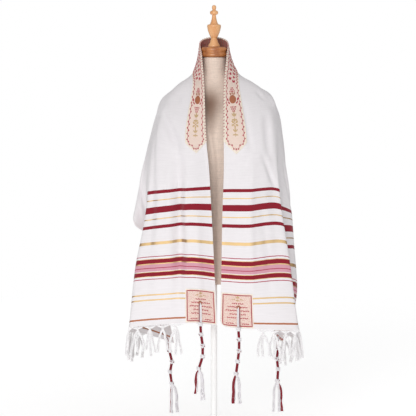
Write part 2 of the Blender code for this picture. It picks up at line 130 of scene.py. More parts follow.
# A section of the shawl runs across it from the neck edge. Its seven guide points are in millimetres:
# the neck edge, the neckband's outer edge, the front's outer fold, the tuck behind that fold, the side,
# the rear layer, and the outer long edge.
Section = namedtuple("Section", "along neck band fold tuck side rear edge")
SECTIONS = [
    Section(-975, (9, -138, 380), (-66, -152, 389), (-253, -114, 371), (-254, -64, 352),
            (-240, -10, 340), (-194, 42, 318), (-126, 76, 289)),
    Section(-800, (0, -141, 562), (-70, -156, 571), (-232, -114, 556), (-238, -66, 540),
            (-228, -14, 520), (-200, 38, 495), (-160, 84, 462)),
    Section(-640, (-8, -145, 725), (-80, -159, 728), (-206, -116, 710), (-202, -80, 700),
            (-206, -34, 665), (-194, 14, 620), (-166, 60, 572)),
    Section(-500, (-16, -146, 860), (-82, -158, 853), (-186, -124, 848), (-204, -82, 832),
            (-206, -46, 770), (-194, -24, 696), (-176, 0, 628)),
    Section(-380, (-26, -140, 966), (-86, -134, 967), (-164, -94, 986), (-187, -48, 948),
            (-204, -20, 885), (-224, -12, 795), (-246, -36, 680)),
    Section(-250, (-31, -80, 1103), (-65, -54, 1097), (-128, -28, 1083), (-160, 2, 1054),
            (-190, 30, 960), (-208, 42, 862), (-224, 40, 748)),
    Section(-140, (-38, -40, 1196), (-64, -6, 1143), (-90, 24, 1117), (-112, 62, 1062),
            (-128, 90, 985), (-138, 102, 885), (-142, 104, 768)),
    Section(-60, (-40, 24, 1240), (-45, 34, 1165), (-50, 64, 1105), (-56, 96, 1040),
            (-60, 116, 960), (-62, 124, 870), (-62, 122, 764)),
    Section(0, (0, 56, 1253), (0, 61, 1176), (0, 84, 1105), (0, 110, 1040),
            (0, 124, 960), (0, 128, 870), (0, 124, 762)),
    Section(60, (40, 24, 1240), (46, 34, 1165), (50, 64, 1105), (56, 96, 1040),
            (60, 116, 960), (62, 124, 870), (62, 122, 766)),
    Section(140, (39, -40, 1196), (70, -8, 1147), (98, 22, 1118), (116, 60, 1066),
            (132, 88, 988), (138, 102, 886), (138, 104, 770)),
    Section(250, (31, -80, 1102), (76, -56, 1101), (146, -26, 1089), (182, 2, 1056),
            (204, 30, 966), (212, 46, 868), (210, 60, 768)),
    Section(380, (29, -140, 969), (95, -138, 970), (172, -98, 993), (202, -50, 964),
            (216, -8, 891), (226, 16, 812), (236, 24, 732)),
    Section(500, (29, -146, 849), (101, -159, 851), (188, -122, 851), (191, -84, 822),
            (231, -34, 775), (232, 16, 748), (214, 66, 690)),
    Section(640, (25, -144, 723), (92, -160, 724), (204, -118, 724), (187, -90, 662),
            (243, -36, 648), (230, 22, 620), (194, 74, 582)),
    Section(800, (22, -141, 559), (95, -158, 557), (230, -116, 557), (209, -86, 507),
            (258, -38, 478), (224, 22, 474), (184, 74, 442)),
    Section(975, (17, -134, 375), (101, -151, 371), (253, -112, 361), (257, -64, 356),
            (236, -12, 330), (184, 34, 322), (224, 84, 287)),
]

# Soft folds of the shawl, in millimetres. A fold that runs down the front lies at one distance across
# the cloth, and one that runs down the back lies at one distance along it. Start and end are on the
# other distance. A negative height is a trough.
Fold = namedtuple("Fold", "runs at half_width height start end")
FOLDS = [
    Fold("along", 112, 32, -7, -900, -330),
    Fold("along", 176, 38, 5, -960, -420),
    Fold("along", 92, 40, 3, 420, 940),
    Fold("along", 168, 34, -4, 400, 900),
    Fold("along", 190, 30, 5, -340, -170),
    Fold("along", 186, 30, 5, 170, 330),
    Fold("across", -104, 34, 9, 190, 510),
    Fold("across", -30, 30, -6, 230, 510),
    Fold("across", 46, 32, 8, 210, 510),
    Fold("across", 112, 30, -6, 240, 510),
    Fold("across", 196, 42, 7, 250, 510),
    Fold("across", -196, 40, -6, 260, 510),
]

# Finer creases, each from one place on the cloth to another, in millimetres
Crease = namedtuple("Crease", "from_along from_across to_along to_across half_width height")
CREASES = [
    # The left front: a trough from the shoulder to the chest, then down the panel
    Crease(-328, 164, -436, 94, 26, -5.0),
    Crease(-430, 98, -955, 122, 26, -6.6),
    Crease(-300, 186, -760, 206, 16, -2.4),
    Crease(-262, 120, -306, 112, 9, -1.6),
    Crease(-250, 150, -290, 128, 8, 1.4),
    Crease(-480, 140, -800, 150, 20, 1.8),
    Crease(-600, 44, -940, 60, 18, 1.8),
    # The right front
    Crease(300, 84, 446, 88, 15, -2.4),
    Crease(340, 152, 470, 156, 24, -3.0),
    Crease(452, 128, 566, 186, 18, -3.6),
    Crease(452, 92, 905, 98, 13, 1.8),
    Crease(440, 84, 532, 44, 15, -1.4),
    Crease(600, 130, 900, 150, 18, -1.8),
    Crease(256, 132, 300, 150, 9, -1.5),
    Crease(262, 176, 312, 192, 9, 1.3),
    # The side layers
    Crease(-420, 300, -590, 420, 22, -3.4),
    Crease(-330, 330, -440, 470, 20, 3.0),
    Crease(-640, 330, -930, 350, 18, -3.2),
    Crease(-620, 420, -900, 440, 20, 2.8),
    Crease(420, 290, 600, 400, 22, -3.4),
    Crease(660, 360, 930, 350, 18, -3.0),
    Crease(560, 430, 880, 450, 20, 2.6),
    # The back
    Crease(-70, 100, -150, 330, 20, -3.2),
    Crease(-10, 110, -22, 380, 16, 2.4),
    Crease(70, 100, 140, 320, 20, -3.0),
    Crease(-160, 120, -260, 300, 22, 2.6),
    Crease(165, 120, 262, 310, 22, 2.4),
    Crease(10, 300, 30, 480, 16, -2.6),
    Crease(-70, 320, -60, 490, 15, 2.6),
    Crease(150, 330, 160, 490, 16, -2.4),
]
RIPPLE = 0.7 * MM
HEM_WIDTH = 6 * MM
HEM_RISE = 0.35 * MM

# The right front's lower inner corner curls back: where the curl starts on both distances
CURL_ALONG = 950 * MM
CURL_ACROSS = 26 * MM
CURL_START = 12 * MM
CURL_RADIUS = 17 * MM

# The woven stripes, in millimetres above the hem: start, end and colour
Stripe = namedtuple("Stripe", "start end colour")
STRIPES = [
    Stripe(14.6, 19.5, "copper"),
    Stripe(71.1, 75, "gold"),
    Stripe(85.7, 89.6, "gold"),
    Stripe(132.5, 134.9, "rose"),
    Stripe(140.8, 142.2, "gold"),
    Stripe(142.2, 153.4, "crimson"),
    Stripe(153.4, 155.8, "gold"),
    Stripe(156.8, 165.1, "pink"),
    Stripe(165.1, 167.8, "rose"),
    Stripe(167.8, 177.3, "pink"),
    Stripe(178, 180.8, "gold"),
    Stripe(180.8, 193.2, "crimson"),
    Stripe(193.2, 194.8, "gold"),
    Stripe(200.6, 203.1, "rose"),
    Stripe(238.6, 247.9, "gold"),
    Stripe(290.7, 300.5, "crimson"),
    Stripe(319.5, 323.4, "gold"),
    Stripe(339.9, 360.4, "crimson"),
    Stripe(380.8, 384.3, "gold"),
    Stripe(404.2, 414.9, "crimson"),
]
# How much of each colour is metal thread
GLINT = {"gold": 1.0, "copper": 0.6}
# The painted shade of gold thread where a fold turns the cloth sideways
PAINTED_SHADE_GOLD = "#8A6038"
STRIPE_SPLIT = 210 * MM
STRIPE_TOP = 430 * MM

# One corner tassel: which end and long edge of the shawl it hangs from, how far from that edge its cord
# leaves the hem, how far the cord drifts sideways at each knot, in millimetres, and its loose ends
Tassel = namedtuple("Tassel", "place end edge leaves_hem sway tails")
Tail = namedtuple("Tail", "colour yarns drift length flare")
TASSELS = [
    Tassel("front_left", "left", "neck", 53, (-1, 1, 6, 6, -6), [
        Tail("crimson", 2, -10, 72, 1.1), Tail("white", 1, -4, 66, 1.0), Tail("white", 5, 12, 92, 1.9)]),
    Tassel("front_right", "right", "neck", 52, (0, 2, 2, -2, -7), [
        Tail("crimson", 3, -9, 86, 1.5), Tail("white", 4, 11, 87, 1.4), Tail("white", 1, -4, 80, 1.0)]),
    Tassel("rear_left", "left", "outer", 20, (3, 7, 15, 9, 14), [
        Tail("crimson", 1, -4, 88, 1.0), Tail("white", 3, 0, 90, 1.2), Tail("white", 4, 17, 88, 1.5)]),
    Tassel("rear_right", "right", "outer", 49, (3, 6, 2, 6, 4), [
        Tail("white", 3, -12, 94, 1.2), Tail("white", 3, 6, 94, 1.3), Tail("crimson", 2, 14, 92, 1.1)]),
]

# How the loose ends hang, from the knot down: shares of their drift, of their depth and of their length
TAIL_BENDS = ((0.1, 0, 0), (0.62, 0.5, 0.14), (0.92, 1, 0.42), (0.9, 1, 0.72), (1.08, 1, 1))

# The rows of stitched leaves on a patch, in millimetres: height above its foot, and where each half of a
# row starts and ends, from the patch's middle
PatchRow = namedtuple("PatchRow", "above start end")
PATCH_ROWS = [
    PatchRow(69, 3, 18), PatchRow(59, 5, 30), PatchRow(48.5, 5, 35), PatchRow(38, 5, 26),
    PatchRow(27.5, 6, 31), PatchRow(11, 14, 31),
]
PATCH_ROW_STEP = 5.4
EYELET_STITCHES = 22

# The leaves of a sprig: tilt in degrees, reach and drop in units of the sprig's size
SPRIG_LEAVES = ((0, 6.6, 0), (-42, 6.0, 0.8), (42, 6.0, 0.8), (-100, 4.6, 4.4), (100, 4.6, 4.4))

# The painted shade down the front of the linen form, below the collar
PAINTED_SHADE_LINEN = "#7A5A48"
# The names of what is sewn or knotted on the shawl start so
SEWN_ON = ("neckband_", "patch_", "tassel_", "fringe_")

# Sections of the linen torso from the bottom up, in millimetres
TorsoSection = namedtuple("TorsoSection", "height half_width half_depth back")
TORSO = [
    TorsoSection(498, 144, 99, 6),
    TorsoSection(498.6, 146.4, 101.4, 6),
    TorsoSection(502, 147, 102, 6),
    TorsoSection(526, 149.4, 103.6, 6),
    TorsoSection(580, 146, 103, 6),
    TorsoSection(640, 134, 97, 6),
    TorsoSection(700, 120, 88, 5),
    TorsoSection(760, 115, 84, 2),
    TorsoSection(820, 122, 90, -2),
    TorsoSection(880, 136, 102, -10),
    TorsoSection(940, 147.6, 107.6, -14),
    TorsoSection(990, 148.8, 95.8, -8),
    TorsoSection(1030, 145.8, 81.8, -2),
    TorsoSection(1060, 141.3, 70.8, 1),
    TorsoSection(1086, 125.8, 66.8, 0),
    TorsoSection(1105, 93.8, 58.8, 0),
    TorsoSection(1124, 55.8, 46.8, 0),
    TorsoSection(1142, 40, 40, 0),
    TorsoSection(1165, 37, 36, 0),
    TorsoSection(1190, 37, 36, 0),
    TorsoSection(1192, 36.4, 35.4, 0),
]

# Turned profiles from the foot up, in millimetres: radius and height above the foot of the piece
NECK_CAP_FOOT = 1192.3
NECK_CAP = [
    (40, 0), (42, 3), (42.2, 7), (40.6, 10.6), (38.6, 13), (39, 15.5), (40.6, 20), (40, 25), (37, 28.6),
    (30, 30.4), (9, 31),
]
FINIAL_FOOT = 1223.6
FINIAL = [
    (18.4, 0), (18.2, 3.4), (14, 10), (10.2, 21), (8.8, 25), (11.4, 30), (15.4, 39), (18.6, 48),
    (20.4, 56), (21.2, 63), (19.6, 66.6), (13.6, 68.4), (9, 78), (6.2, 92), (6.4, 96.4), (11, 98.6),
    (12.6, 103.2), (11.6, 107.4), (5, 111.4), (5.6, 113.6), (6.6, 119), (5.6, 124), (2.5, 126.4),
]
TURNING_STEP = 1.4 * MM
TURNING_SIDES = 72

# The photograph's viewpoint: 3.1 mm to a pixel at the form's axis, from 5 m away and 5 degrees above
VIEW_DISTANCE = 5.0
VIEW_ELEVATION = 5.0
VIEW_SCALE = 3.1 * MM
VIEW_TARGET = (-0.0186, 0.7256)
PICTURE_WIDTH = 416
SENSOR = 36.0


def linear(colour):
    """An sRGB hex colour as linear red, green, blue and alpha."""
    values = [int(colour[i:i + 2], 16) / 255 for i in (1, 3, 5)]
    return tuple(v / 12.92 if v <= 0.04045 else ((v + 0.055) / 1.055) ** 2.4 for v in values) + (1.0,)


def colour_property(name, description, colour):
    """A colour that the sidebar shows, with its sRGB default."""
    return FloatVectorProperty(name=name, description=description, subtype="COLOR", size=4, min=0, max=1,
                               default=linear(colour))


def length_property(name, description, millimetres):
    """A length that the sidebar shows in the scene's units."""
    return FloatProperty(name=name, description=description, default=millimetres * MM, min=0, unit="LENGTH",
                         precision=5)


class TallitClothSettings(bpy.types.PropertyGroup):
    """The shawl's cloth."""
    wall: length_property("Cloth thickness", "Thickness of the woven shawl", 1.2)
    step: length_property("Mesh step", "Longest mesh edge over the shawl", 6.0)
    creasing: FloatProperty(name="Creasing", description="How deep the fine creases are", default=2.1, min=0)
    white: colour_property("White wool", "Ground of the cloth", "#E9E5E7")
    crimson: colour_property("Crimson stripe", "Wide woven stripes", "#8A1226")
    rose: colour_property("Rose line", "Thin woven lines beside the bands", "#AE4258")
    pink: colour_property("Pink stripe", "Stripes between the crimson ones", "#D29AA9")
    gold: colour_property("Gold stripe", "Stripes of gold thread", "#E4C28C")
    copper: colour_property("Copper stripe", "Stripe next to the hem", "#B4714E")


class TallitTrimSettings(bpy.types.PropertyGroup):
    """The neckband and the corner patches."""
    wall: length_property("Brocade thickness", "Thickness of the band and the patches", 1.0)
    thread: length_property("Thread radius", "Radius of a couched embroidery thread", 0.75)
    satin: length_property("Satin rise", "How far satin stitching stands off the brocade", 0.7)
    stitch: length_property("Stitch length", "Length of one sewing stitch", 3.0)
    ground: colour_property("Brocade", "Ground of the brocade", "#F3DDD0")
    cream: colour_property("Cream margin", "Margin of the brocade and its lattice", "#F7ECDC")
    crimson: colour_property("Crimson thread", "Border and ornament threads", "#B83246")
    gold: colour_property("Gold thread", "Gold motifs", "#CDAE80")
    copper: colour_property("Copper thread", "Pomegranate motifs and eyelets", "#B06A48")


class TallitTasselSettings(bpy.types.PropertyGroup):
    """The four corner tassels."""
    cord: length_property("Cord radius", "Radius of one cord over the patch", 1.25)
    winding: length_property("Winding radius", "Radius of the crimson winding yarn", 1.1)
    core: length_property("Core radius", "Radius of the bundle that the yarn is wound on", 2.9)
    tail: length_property("Tail yarn radius", "Radius of one loose yarn", 2.2)
    white: colour_property("White wool cord", "The undyed cords", "#EFECEF")
    crimson: colour_property("Crimson wool cord", "The dyed cord", "#8A0A22")


class TallitFringeSettings(bpy.types.PropertyGroup):
    """The two end fringes."""
    yarn: length_property("Yarn radius", "Radius of one fringe yarn", 1.7)
    length: length_property("Fringe length", "Mean length of the legs below their knot", 74)
    depth: length_property("Knot depth", "How far the knots hang below the hem", 12)
    gathered: IntProperty(name="Yarns to a knot", description="Yarns that gather in each knot", default=9,
                          min=3)
    white: colour_property("Fringe yarn", "The undyed fringe", "#FCFAFB")


class TallitFormSettings(bpy.types.PropertyGroup):
    """The dress form and its stand."""
    linen: colour_property("Linen", "Cover of the form", "#EEDACB")
    cap_wood: colour_property("Neck cap wood", "Red-brown varnished wood", "#D08A52")
    finial_wood: colour_property("Finial wood", "Honey varnished wood", "#F2BA84")
    steel: colour_property("Stand paint", "White powder coat", "#FCFCFB")


class TallitStageSettings(bpy.types.PropertyGroup):
    """The floor, lights and camera."""
    floor_radius: FloatProperty(name="Floor radius", description="Radius of the pale floor", default=3.2,
                                unit="LENGTH")
    floor: colour_property("Floor", "Pale studio floor", "#FDFDFD")
    ambient: FloatProperty(name="Ambient light", description="Light from all round", default=0.36, min=0)
    key: FloatProperty(name="Key light", description="Strength of the broad light from the front left",
                       default=1.38, min=0)
    fill: FloatProperty(name="Fill light", description="Strength of the broad light from above", default=0.53,
                        min=0)
    glow: FloatProperty(name="Floor glow", description="Light of the lit table under the paper", default=0.45,
                        min=0)


def smooth_curve(keys, values, at):
    """The value at a key, on a smooth curve through all the keys' values."""
    last = len(keys) - 1
    i = min(max(bisect.bisect_right(keys, at) - 1, 0), last - 1)

    def slope(k):
        low = max(k - 1, 0)
        high = min(k + 1, last)
        return (values[high] - values[low]) / (keys[high] - keys[low])

    span = keys[i + 1] - keys[i]
    t = (at - keys[i]) / span
    return (
        values[i] * (2 * t ** 3 - 3 * t ** 2 + 1)
        + slope(i) * span * (t ** 3 - 2 * t ** 2 + t)
        + values[i + 1] * (3 * t ** 2 - 2 * t ** 3)
        + slope(i + 1) * span * (t ** 3 - t ** 2)
    )


# The shawl's surface

@functools.lru_cache(maxsize=None)
def section_at(along):
    """The section at a distance along: its guide points and how far across the cloth each lies."""
    keys = [section.along * MM for section in SECTIONS]
    guides = []
    for column in Section._fields[1:]:
        values = [Vector(getattr(section, column)) * MM for section in SECTIONS]
        guides.append(smooth_curve(keys, values, along))
    gaps = [(far - near).length for near, far in zip(guides[1:], guides[2:])]
    reach = [0.0, BAND_EDGE]
    for gap in gaps:
        reach.append(reach[-1] + gap / sum(gaps) * (CUT_WIDTH - BAND_EDGE))
    return guides, reach


def surface_base(along, across):
    """The middle of the cloth's wall, without its folds."""
    guides, reach = section_at(along)
    return smooth_curve(reach, guides, across)


def surface_directions(along, across):
    """The directions down the cloth, over it, and out of its right side."""
    step = 2 * MM
    a0 = max(along - step, -HALF_LENGTH)
    a1 = min(along + step, HALF_LENGTH)
    c0 = max(across - step, 0.0)
    c1 = min(across + step, CUT_WIDTH)
    down_cloth = (surface_base(a1, across) - surface_base(a0, across)).normalized()
    over_cloth = (surface_base(along, c1) - surface_base(along, c0)).normalized()
    return down_cloth, over_cloth, down_cloth.cross(over_cloth).normalized()


def rise_and_fall(value, start, end):
    """One between start and end, and easing to nothing near each."""
    ease = 0.22 * (end - start)
    t = min(value - start, end - value) / ease
    t = min(max(t, 0.0), 1.0)
    return t * t * (3 - 2 * t)


def fold_height(along, across):
    """How far the soft folds move the cloth out of its section."""
    height = 0.0
    for fold in FOLDS:
        if fold.runs == "along":
            beside, down = across, along
        else:
            beside, down = along, across
        offset = (beside / MM - fold.at) / fold.half_width
        if abs(offset) < 1:
            crest = math.cos(offset * math.pi / 2) ** 2
            height += fold.height * MM * crest * rise_and_fall(down / MM, fold.start, fold.end)
    return height


def crease_height(along, across):
    """How far the fine creases, the ripple of the weave and the hems move the cloth."""
    height = 0.0
    for crease in CREASES:
        start = Vector((crease.from_along, crease.from_across)) * MM
        run = Vector((crease.to_along, crease.to_across)) * MM - start
        place = Vector((along, across)) - start
        share = place.dot(run) / run.length_squared
        if not 0 < share < 1:
            continue
        wander = 5 * MM * noise.noise(Vector((along * 9, across * 3, crease.half_width)))
        offset = (abs(place.cross(run)) / run.length + wander) / (crease.half_width * MM)
        if abs(offset) < 1:
            crest = math.cos(offset * math.pi / 2) ** 2
            height += crease.height * MM * crest * math.sin(share * math.pi) ** 0.7
    height *= bpy.context.scene.tallit_cloth.creasing
    height += RIPPLE * noise.noise(Vector((along * 11, across * 17, 3.5)))
    from_edge = min(across, CUT_WIDTH - across, HALF_LENGTH - abs(along))
    if from_edge < HEM_WIDTH:
        height += HEM_RISE
    return height


def corner_curl(along, across):
    """How far the curled corner moves back over the cloth, and how far out of it."""
    past = (max(0.0, along - CURL_ALONG) + max(0.0, CURL_ACROSS - across)) / math.sqrt(2)
    if along < CURL_ALONG or across > CURL_ACROSS or past <= CURL_START:
        return 0.0, 0.0
    past -= CURL_START
    turn = past / CURL_RADIUS
    return past - CURL_RADIUS * math.sin(turn), -CURL_RADIUS * (1 - math.cos(turn))


def cloth_point(along, across, out=0.0):
    """A point of the cloth, moved out from the middle of its wall."""
    down_cloth, over_cloth, normal = surface_directions(along, across)
    back, dip = corner_curl(along, across)
    point = surface_base(along, across)
    point += normal * (fold_height(along, across) + crease_height(along, across) + dip + out)
    return point + (over_cloth - down_cloth) * back / math.sqrt(2)


def even_steps(start, end, longest):
    """Evenly spaced values after the start, up to and including the end."""
    count = max(1, math.ceil((end - start) / longest - 1e-6))
    return [start + (end - start) * (i + 1) / count for i in range(count)]


def both_ways(steps):
    """Steps away from nothing on both sides of it, in order."""
    return [-step for step in reversed(steps)] + [0.0] + steps


# Meshes

def deselect():
    """Leave nothing selected, so an operator acts only on what is new."""
    if bpy.context.mode != "OBJECT":
        bpy.ops.object.mode_set(mode="OBJECT")
    bpy.ops.object.select_all(action="DESELECT")


def make_active(piece):
    """Select one piece alone."""
    deselect()
    piece.select_set(True)
    bpy.context.view_layer.objects.active = piece


def name_piece(piece, name):
    """Give an object and its mesh the same name."""
    piece.name = name
    piece.data.name = name
    return piece


def apply_modifiers(piece):
    """Apply every modifier of a piece, in order."""
    make_active(piece)
    for modifier in list(piece.modifiers):
        bpy.ops.object.modifier_apply(modifier=modifier.name)


def place_on_frame(piece, slot, *nodes):
    """Let a finished piece ride with the frame, in place of its CAD nodes."""
    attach(piece, "root")
    if nodes:
        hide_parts(*nodes)
    return piece


def lay_sheet(name, rows, place, wall, weave):
    """A thin closed shell over the cloth.

    rows holds, for each distance along, that distance and its distances across. place gives the middle of
    the wall at a distance along and across, and weave the pair of numbers that its material reads.
    """
    columns = len(rows[0][1])
    deselect()
    bpy.ops.mesh.primitive_grid_add(x_subdivisions=len(rows) - 1, y_subdivisions=columns - 1, size=2)
    sheet = name_piece(bpy.context.object, name)
    mesh = sheet.data
    pairs = []
    for vertex in mesh.vertices:
        row = round((vertex.co.x + 1) / 2 * (len(rows) - 1))
        column = round((vertex.co.y + 1) / 2 * (columns - 1))
        along, acrosses = rows[row]
        pairs.append(weave(along, acrosses[column]))
        vertex.co = place(along, acrosses[column])
    for layer in list(mesh.uv_layers):
        mesh.uv_layers.remove(layer)
    layer = mesh.uv_layers.new(name="weave")
    layer.data.foreach_set("uv", [value for loop in mesh.loops for value in pairs[loop.vertex_index]])
    solid = sheet.modifiers.new("Wall", "SOLIDIFY")
    solid.thickness = wall
    solid.offset = 0
    apply_modifiers(sheet)
    bpy.ops.object.shade_smooth_by_angle(angle=math.radians(50))
    return sheet


def running_lengths(points):
    """How far each point of a path lies from its start, measured along it."""
    reach = [0.0]
    for near, far in zip(points, points[1:]):
        reach.append(reach[-1] + math.dist(near, far))
    return reach


def path_runs(path):
    """The direction of a path at each of its points."""
    last = len(path) - 1
    return [(path[min(i + 1, last)] - path[max(i - 1, 0)]).normalized() for i in range(len(path))]


def directions_round(axis):
    """A function that gives the direction at a turn round an axis."""
    side = axis.orthogonal().normalized()
    front = axis.cross(side)
    return lambda turn: side * math.cos(turn) + front * math.sin(turn)


class Skein:
    """Many yarns, stitches or satin shapes of one colour, which become one mesh.

    Each corner keeps two numbers for the material: turns round the yarn, and metres down it.
    """

    def __init__(self):
        self.points = []
        self.faces = []
        self.corners = []

    def add_yarn(self, path, radii, sides=6):
        """A round yarn with closed ends. radii holds one radius for each point, or is one for all."""
        if isinstance(radii, float):
            radii = [radii] * len(path)
        start = len(self.points)
        runs = path_runs(path)
        side = runs[0].orthogonal().normalized()
        for centre, run, radius in zip(path, runs, radii):
            side = (side - run * side.dot(run)).normalized()
            front = run.cross(side)
            for k in range(sides):
                turn = 2 * math.pi * k / sides
                self.points.append(centre + (side * math.cos(turn) + front * math.sin(turn)) * radius)
        reach = running_lengths(path)
        for i in range(len(path) - 1):
            for k in range(sides):
                a = start + i * sides + k
                b = start + i * sides + (k + 1) % sides
                self.faces.append((a, b, b + sides, a + sides))
                self.corners.append([
                    (k / sides, reach[i]), ((k + 1) / sides, reach[i]),
                    ((k + 1) / sides, reach[i + 1]), (k / sides, reach[i + 1]),
                ])
        for ring, order in ((start, -1), (start + (len(path) - 1) * sides, 1)):
            self.faces.append(tuple(range(ring, ring + sides))[::order])
            self.corners.append([(0.0, 0.0)] * sides)

    def add_satin(self, outline, place, rise, rim=0.24):
        """A padded shape of satin stitch over a star-shaped outline, given about its own centre.

        place gives the point at two distances over the cloth and one out of it.
        """
        start = len(self.points)
        count = len(outline)
        centre = Vector((sum(p[0] for p in outline) / count, sum(p[1] for p in outline) / count))
        for share, out in ((1.0, 0.0), (1 - rim * 0.35, rise * 0.7), (1 - rim, rise * 0.95)):
            for corner in outline:
                at = centre + (Vector(corner) - centre) * share
                self.points.append(place(at.x, at.y, out))
        middle = len(self.points)
        self.points.append(place(centre.x, centre.y, rise))
        flat = [tuple(centre + (Vector(c) - centre) * s) for s in (1.0, 0.92, 1 - rim) for c in outline]
        for ring in range(2):
            for k in range(count):
                a = ring * count + k
                b = ring * count + (k + 1) % count
                quad = (a, b, b + count, a + count)
                self.faces.append(tuple(start + v for v in quad))
                self.corners.append([flat[v] for v in quad])
        for k in range(count):
            a = 2 * count + k
            b = 2 * count + (k + 1) % count
            self.faces.append((start + a, start + b, middle))
            self.corners.append([flat[a], flat[b], tuple(centre)])

    def make(self, name, material):
        """The mesh object of everything added."""
        mesh = bpy.data.meshes.new(name)
        mesh.from_pydata([tuple(p) for p in self.points], [], self.faces)
        layer = mesh.uv_layers.new(name="weave")
        layer.data.foreach_set("uv", [value for face in self.corners for corner in face for value in corner])
        mesh.materials.append(material)
        piece = bpy.data.objects.new(name, mesh)
        bpy.context.collection.objects.link(piece)
        make_active(piece)
        bpy.ops.object.mode_set(mode="EDIT")
        bpy.ops.mesh.select_all(action="SELECT")
        bpy.ops.mesh.normals_make_consistent(inside=False)
        bpy.ops.object.mode_set(mode="OBJECT")
        bpy.ops.object.shade_smooth_by_angle(angle=math.radians(60))
        return piece


def twisted_bundle(skein, path, yarns, yarn_radius, bundle_radius, pitch, shuffle, flare=1.0):
    """Yarns that turn loosely round one path and spread towards its end."""
    reach = running_lengths(path)
    runs = path_runs(path)
    phase = shuffle.uniform(0, 2 * math.pi)
    for yarn in range(yarns):
        strand = []
        radii = []
        short = shuffle.uniform(0.93, 1.0)
        waves = shuffle.uniform(0, 9)
        for centre, run, travel in zip(path, runs, reach):
            share = travel / reach[-1]
            side = (Vector((1, 0, 0)) - run * run.x).normalized()
            front = run.cross(side)
            turn = phase + 2 * math.pi * (yarn / yarns + travel / pitch)
            spread = bundle_radius * (1 + (flare - 1) * share ** 3) * min(1.0, 0.35 + share * 4)
            if yarns == 1:
                spread = 0.0
            loose = 0.8 * MM * noise.noise(Vector((waves, travel * 60, yarn * 3.1)))
            strand.append(centre + side * (math.cos(turn) * spread + loose) + front * math.sin(turn) * spread)
            radii.append(yarn_radius * (0.92 + 0.16 * noise.noise(Vector((yarn, travel * 90, waves)))))
        last = strand[-1]
        before = strand[-2]
        strand[-1] = before + (last - before) * short
        radii[-1] = yarn_radius * 1.15
        strand.append(strand[-1] + (last - before).normalized() * 1.5 * MM)
        radii.append(yarn_radius * 0.55)
        skein.add_yarn(strand, radii)


def knot_curve(centre, axis, ring_radius, swing, half_height, steps=54):
    """A closed curve that crosses itself round an axis, like a cord pulled tight in a knot."""
    direction = directions_round(axis)
    curve = []
    for i in range(steps + 1):
        turn = 2 * math.pi * i / steps
        radius = ring_radius + swing * math.cos(3 * turn)
        curve.append(centre + direction(2 * turn) * radius + axis * half_height * math.sin(3 * turn))
    return curve


# Materials

def feed(node, inputs):
    """Give sockets of a node a value, or the socket that feeds them, by place or by name."""
    for key, value in inputs.items():
        if isinstance(value, bpy.types.NodeSocket):
            node.id_data.links.new(value, node.inputs[key])
        else:
            node.inputs[key].default_value = value


def add_node(tree, kind, inputs=(), output=None, **settings):
    """One shader node with its settings and links, given as one output: that named, or the first live one."""
    node = tree.nodes.new("ShaderNode" + kind)
    for key, value in settings.items():
        setattr(node, key, value)
    feed(node, inputs if isinstance(inputs, dict) else dict(enumerate(inputs)))
    if output:
        return node.outputs[output]
    return next((socket for socket in node.outputs if socket.enabled), None)


def start_material(name, roughness, sheen=0.0, specular=0.5):
    """A Principled material with the constants that stay on its own sockets, and what adds nodes to it."""
    material = bpy.data.materials.new(name)
    material.use_nodes = True
    shader = material.node_tree.nodes["Principled BSDF"]
    feed(shader, {"Roughness": roughness, "Sheen Weight": sheen, "Sheen Roughness": 0.5,
                  "Specular IOR Level": specular})
    return material, shader, functools.partial(add_node, material.node_tree)


def weave_coordinates(add):
    """The weave map of a woven piece, and its two numbers."""
    weave = add("UVMap", uv_map="weave")
    across = add("SeparateXYZ", (weave,))
    return weave, across, across.node.outputs["Y"]


def ripple(add, value, pitch):
    """A wave that repeats with a pitch."""
    turn = add("Math", (value, 2 * math.pi / pitch), operation="MULTIPLY")
    return add("Math", (turn,), operation="SINE")


def plied_twist(add, plies, pitch):
    """Height of the plies that wind down a yarn."""
    turns, down = weave_coordinates(add)[1:]
    round_yarn = add("Math", (turns, 2 * math.pi * plies), operation="MULTIPLY")
    slant = add("Math", (down, 2 * math.pi / pitch, round_yarn), operation="MULTIPLY_ADD")
    return add("Math", (slant,), operation="SINE")


def shaded(add, colour, tone):
    """A colour made darker or lighter by a number."""
    grey = add("CombineColor", (tone, tone, tone))
    return add("Mix", {0: 1.0, 6: colour, 7: grey}, data_type="RGBA", blend_type="MULTIPLY")


def fill_stripe_ramp(ramp, low, high):
    """Set a stepped colour ramp to the stripes between two heights. Alpha marks the gold thread."""
    cloth = bpy.context.scene.tallit_cloth
    ground = tuple(cloth.white[:3]) + (0.0,)
    stops = [(0.0, ground)]
    for stripe in STRIPES:
        if not low < stripe.end * MM <= high:
            continue
        tint = tuple(getattr(cloth, stripe.colour)[:3]) + (GLINT.get(stripe.colour, 0.0),)
        begin = (stripe.start * MM - low) / (high - low)
        finish = (stripe.end * MM - low) / (high - low)
        if abs(stops[-1][0] - begin) < 1e-6:
            stops[-1] = (begin, tint)
        else:
            stops.append((begin, tint))
        stops.append((finish, ground))
    ramp.interpolation = "CONSTANT"
    ramp.elements[0].position = stops[0][0]
    ramp.elements[0].color = stops[0][1]
    ramp.elements.remove(ramp.elements[1])
    for position, tint in stops[1:]:
        ramp.elements.new(position).color = tint


